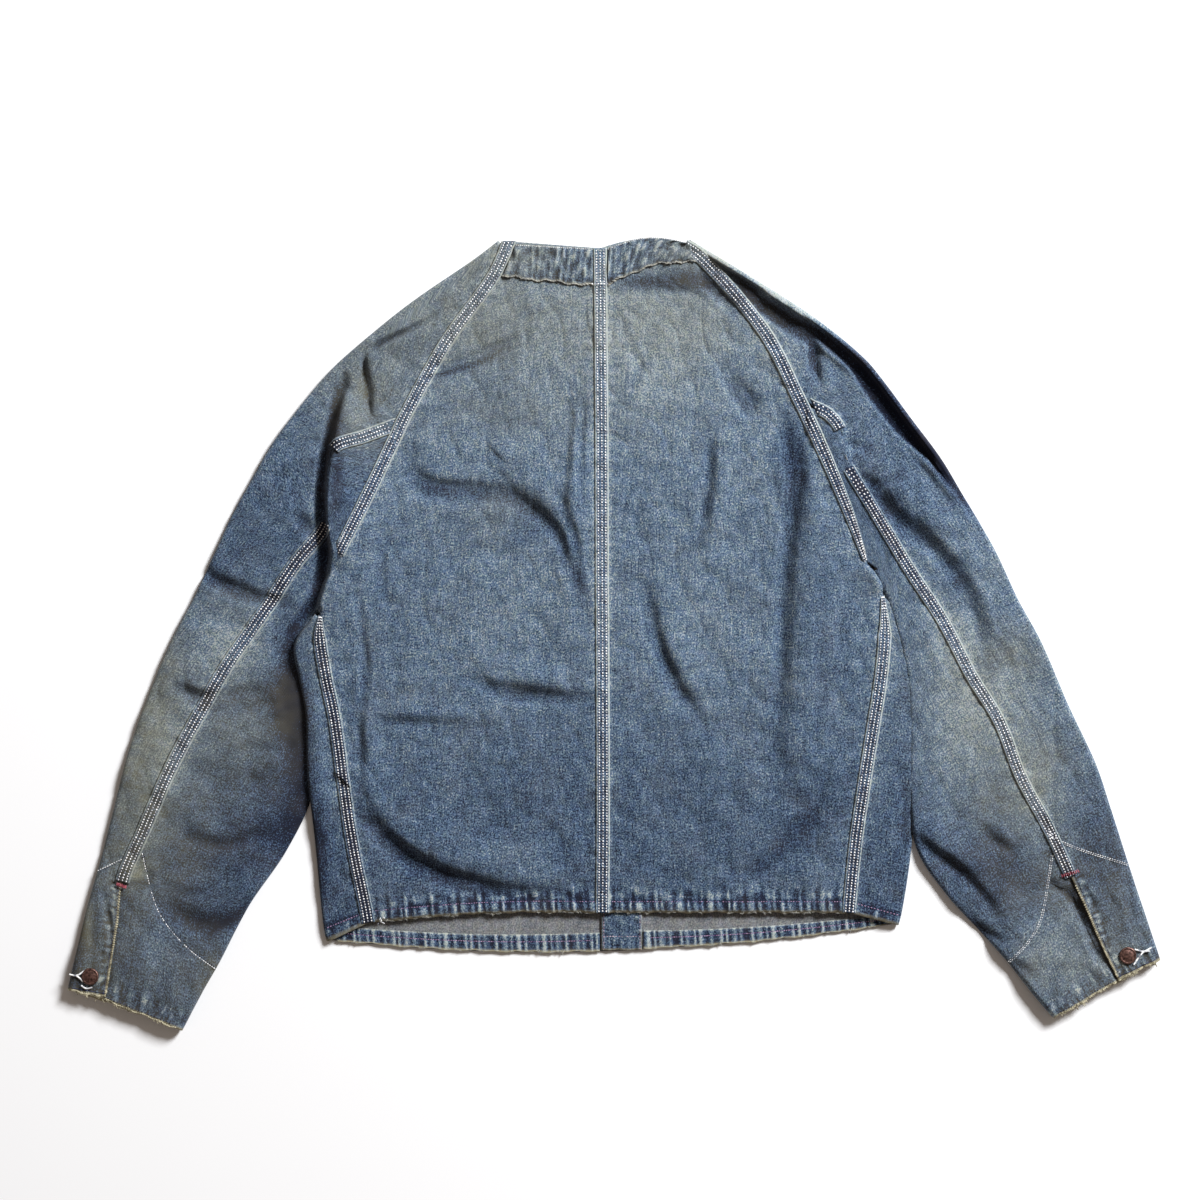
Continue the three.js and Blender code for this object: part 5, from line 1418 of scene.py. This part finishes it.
def sew_cuff(label, plan):
    paths = []
    for marks in CUFF_ROWS[label]:
        line = np.array(on_jacket(marks), float)
        ahead = np.gradient(line, axis=0)
        ahead /= np.linalg.norm(ahead, axis=1, keepdims=True)
        beside = np.stack([-ahead[:, 1], ahead[:, 0]], -1)
        paths += [run_over(line + beside * off, plan["sleeve_top"], 2.5) for off in (-0.8, 0.8)]
    if label == "left":
        sew("thread_cuff_left", paths[::2], cotton, long=2.0, wide=1.15, tall=0.6, seed=31)
        # The navy row beside the white one is painted shadow.
        sew("thread_cuff_painted_shadow", paths[1::2], dark_thread_and_shadow, long=1.8, wide=0.6, tall=0.5, seed=32)
    else:
        sew("thread_cuff_right", paths, cotton, long=2.0, wide=0.7, tall=0.6, seed=31)

    # The cut edges of cuff and slit are oversewn in cream yarn, now ragged.
    pieces = (plan["place_top"], plan["place_under"])
    edges = [across_row(place, 0.03, 0.02, 0.56, 41) for place in pieces]
    inside = [across_row(place, 0.16, 0.03, 0.56, 27) for place in pieces]
    slit_top = plan["lines"]["slit"] - 0.25
    slit_edge = up_column(plan["place_top"], 0.006, 0.2, slit_top, 53)
    slit_row = up_column(plan["place_top"], 0.045, 0.2, slit_top, 37)
    sew(f"cuff_edge_{label}", edges, cream, long=3.0, wide=1.8, tall=1.4, tilt=0.4, seed=51)
    sew(f"cuff_row_{label}", inside, dark_thread_and_shadow, long=1.9, wide=1.0, tall=0.6, seed=53)
    sew(f"slit_edge_{label}", [slit_edge], cream, long=1.7, wide=2.5, tall=1.0, tilt=0.3, seed=55)
    sew(f"slit_row_{label}", [slit_row], dark_thread_and_shadow, long=1.9, wide=0.8, tall=0.6, seed=57)


for label, plan in HALVES.items():
    sew_cuff(label, plan)

# The neck band's edges are oversewn too: in thick greyed yarn along the raw lower edge, now
# lumpy, and with one fine cotton row along the neck.
raw_edge = dyed("raw_edge_yarn", (190, 188, 176), (124, 126, 126))
for label, plan in HALVES.items():
    low_edge = across_row(plan["place_band"], BAND_ROW + 0.03, 0.01, 0.99, 33) + (0, 0, 0.2)
    high_edge = across_row(plan["place_band"], NECK_ROW - 0.07, 0.01, 0.99, 38)
    sew(f"band_edge_{label}", [low_edge], raw_edge, long=4.0, wide=1.4, tall=1.1, tilt=0.4, seed=58)
    sew(f"band_row_{label}", [high_edge], cotton, long=1.5, wide=0.8, tall=0.6, seed=59)

# Along the raw edges of the cuffs and hems the cloth has frayed, and loose ends of its weft
# stand out, each a millimetre or two long.
draw = np.random.default_rng(77)


def loose_ends(place, count, low, high, back, ahead):
    spots = place(np.full(count, 0.02), draw.uniform(low, high, count))[0]
    return [np.stack([spot - back, spot + ahead]) for spot in spots]


for label, plan in HALVES.items():
    ends = loose_ends(plan["place_top"], 16, 0.02, 0.55, (0.6, 0.9, 0), (0.7, -0.8, 0.2))
    ends += loose_ends(plan["place_under"], 22, 0.02, 0.55, (0.6, 0.9, 0), (0.7, -0.8, 0.2))
    hem_ends = loose_ends(plan["place_back"], 34, 0.03, 0.97, (0.8, 0.3, 0), (0.8, -0.4, 0.2))
    hem_ends += loose_ends(plan["turn_up"], 20, 0.03, 0.97, (0.8, 0.2, 0), (0.8, -0.3, 0.2))
    sew(f"loose_ends_{label}", ends, cream, long=3.4, wide=0.5, tall=0.5, tilt=0.8, seed=61)
    sew(f"loose_hem_ends_{label}", hem_ends, raw_edge, long=2.6, wide=0.45, tall=0.45, tilt=0.7,
        seed=63)

# A bar of red cotton stitches, worked square to the seam, stops each cuff's slit from tearing
# further. Nine stitches make a bar; each goes 0.5 mm out to either side.
BARTACKS = {"left": [(117, 884), (126, 887)], "right": [(1062, 876), (1078, 871)]}
red = dyed("red_thread", (196, 104, 116), (124, 44, 62))
for label, marks in BARTACKS.items():
    start, end = np.array(on_jacket(marks), float)
    along = (end - start) / np.linalg.norm(end - start)
    square = 1.6 * np.array([-along[1], along[0]])
    paths = []
    for t in np.linspace(0, 1, 9):
        centre = start + (end - start) * t
        ends = np.array([centre - square, centre + square])
        low, high = np.column_stack([ends, HALVES[label]["sleeve_top"](*ends.T) + 1.9])
        half_stitch = (high - low) / 6
        paths.append(np.array([(low + high) / 2 - half_stitch, (low + high) / 2 + half_stitch]))
    sew(f"bartack_{label}", paths, red, long=3.0, wide=1.0, tall=0.9, tilt=0.3, seed=41)

# Here and there the thread was fastened off or has come loose: a tuft at the hem's left end,
# a knot at the right cuff, a cross stitch over the neck band.
TUFTS = {
    "hem_tuft": ([(378, 924), (381, 921), (384, 918), (380, 919), (383, 923)],
                 "body", 3.0, 1.1, 2.6, 1.2),
    "cuff_knot": ([(1049, 832), (1052, 834), (1056, 838), (1052, 838), (1050, 835)],
                  "sleeve", 3.0, 1.6, 2.4, 0.9),
    "neck_cross": ([(592, 284), (595, 284), (598, 284), (601, 284), (604, 284), (607, 284)],
                   "body", 2.4, 1.4, 4.0, 0.5),
}
for name, (marks, cloth, long, wide, above, tilt) in TUFTS.items():
    x, y = np.array(on_jacket(marks), float).T
    path = np.stack([x, y, height(x, y, cloth) + above], -1)
    sew(name, [path], cotton, long=long, wide=wide, tall=1.0, tilt=tilt, seed=71)

# Each cuff closes with a shank button: a copper cap, browned by age, rolled over a plain back.
# Its profile is in millimetres: how far out and how high.
COPPER_SHADES = ((0.35, srgb(58, 40, 36)), (0.7, srgb(136, 102, 92)))
copper = mottled("tarnished_copper", 420, 4, COPPER_SHADES, Metallic=0.75, Roughness=0.42)
dents = add_node(copper.node_tree, "ShaderNodeBump", Strength=0.3, Distance=0.0003)
metal = copper.node_tree.nodes["Principled BSDF"]
patina = copper.node_tree.nodes["Noise Texture"]
copper.node_tree.links.new(patina.outputs["Fac"], dents.inputs["Height"])
copper.node_tree.links.new(dents.outputs[0], metal.inputs["Normal"])
CAP = [(0, 0), (7.2, 0), (8.2, 0.3), (8.6, 0.9), (8.5, 1.5), (8.1, 2.0), (7.5, 2.25), (6.9, 2.15),
       (6.5, 1.95), (6.0, 2.0), (5.0, 2.35), (3.5, 2.7), (1.8, 2.95), (0, 3.05)]
for label, plan in HALVES.items():
    low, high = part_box(f"button_{label}")
    x, y = plan["button"]
    cap = bmesh.new()
    verts = [cap.verts.new((r * MM, 0, h * MM)) for r, h in CAP]
    edges = [cap.edges.new(pair) for pair in zip(verts, verts[1:])]
    bmesh.ops.spin(cap, geom=verts + edges, cent=(0, 0, 0), axis=(0, 0, 1), angle=2 * np.pi, steps=48,
                   use_merge=True)
    bmesh.ops.remove_doubles(cap, verts=cap.verts, dist=1e-6)
    bmesh.ops.recalc_face_normals(cap, faces=cap.faces)
    bmesh.ops.translate(cap, verts=cap.verts, vec=(x * MM, y * MM, low[2]))
    mesh = bpy.data.meshes.new(f"copper_button_{label}")
    cap.to_mesh(mesh)
    cap.free()
    mesh.shade_smooth()
    mesh.materials.append(copper)
    piece = put_down(mesh.name, mesh)
    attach(piece, "root")
    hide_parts(f"button_{label}")

# The buttonhole beside it is worked in thick white cotton that has come loose into a fork.
# Each arm of the fork is a round cord, laid over the cloth.
FORKS = {
    "left": [[(70, 974), (77, 975), (86, 970)], [(77, 975), (81, 978), (84, 981)],
             [(82, 985), (87, 988), (93, 987)]],
    "right": [[(1151, 947), (1143, 951), (1134, 949)], [(1143, 951), (1138, 957), (1133, 964)],
              [(1149, 951), (1145, 951), (1141, 953)]],
}
FORK_RADIUS = 0.85
FORK_ABOVE = 1.6


def lay_arm(name, marks, top):
    stretches = len(marks) - 1
    line = trace(on_jacket(marks), [4] * stretches)
    x, y = at(line, np.linspace(0, line[0][-1], 6 * stretches + 1)).T
    curve = bpy.data.curves.new(name, "CURVE")
    curve.dimensions = "3D"
    curve.bevel_depth = FORK_RADIUS * MM
    curve.bevel_resolution = 2
    curve.use_fill_caps = True
    spline = curve.splines.new("POLY")
    spline.points.add(len(x) - 1)
    for point, (px, py, pz) in zip(spline.points, np.stack([x, y, top(x, y) + FORK_ABOVE], -1) * MM):
        point.co = (px, py, pz, 1)
    holder = put_down(name, curve)
    bpy.context.view_layer.update()
    mesh = bpy.data.meshes.new_from_object(holder.evaluated_get(bpy.context.evaluated_depsgraph_get()))
    bpy.data.objects.remove(holder)
    mesh.name = name
    mesh.materials.clear()
    mesh.materials.append(cotton)
    piece = put_down(name, mesh)
    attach(piece, "root")


for label, arms in FORKS.items():
    for k, marks in enumerate(arms):
        lay_arm(f"buttonhole_{label}_{k + 1}", marks, HALVES[label]["sleeve_top"])

# It is shown on a plain pale floor, just under the cloth, in soft studio light that comes from
# the upper right and leaves warm grey shadows.
FLOOR_DROP = 0.0003
floor_mesh = bpy.data.meshes.new("floor")
sheet = bmesh.new()
bmesh.ops.create_grid(sheet, x_segments=1, y_segments=1, size=4)
bmesh.ops.translate(sheet, verts=sheet.verts, vec=(0, 0, -FLOOR_DROP))
sheet.to_mesh(floor_mesh)
sheet.free()
floor = put_down("floor", floor_mesh)
paper = bpy.data.materials.new("pale_floor")
paper.use_nodes = True
matt = paper.node_tree.nodes["Principled BSDF"]
matt.inputs["Base Color"].default_value = (0.92, 0.92, 0.92, 1)
matt.inputs["Roughness"].default_value = 0.9
floor_mesh.materials.append(paper)

KEY_FROM = Vector((0.60, 0.62, 0.62)).normalized()
KEY_AWAY = 6
key = bpy.data.lights.new("key", "AREA")
key.shape = "SQUARE"
key.size = 1.7
key.energy = 690
key.color = (0.98, 1.0, 1.03)
lamp = put_down("key", key)
lamp.location = KEY_FROM * KEY_AWAY
lamp.rotation_mode = "QUATERNION"
lamp.rotation_quaternion = KEY_FROM.to_track_quat("Z", "Y")
world = bpy.data.worlds.new("studio")
world.use_nodes = True
sky = world.node_tree.nodes["Background"]
sky.inputs["Color"].default_value = (1.0, 0.85, 0.74, 1)
sky.inputs["Strength"].default_value = 0.2
bpy.context.scene.world = world

# The camera looks straight down, from so high that the photo's 1200 pixels span 1.2 m.
PHOTO_HEIGHT = 3.343
view = bpy.data.cameras.new("camera")
view.lens = 100
view.sensor_width = 36
camera = put_down("camera", view)
camera.location = (-0.014, 0.035, PHOTO_HEIGHT)
bpy.context.scene.camera = camera
bpy.context.scene.view_settings.view_transform = "Standard"
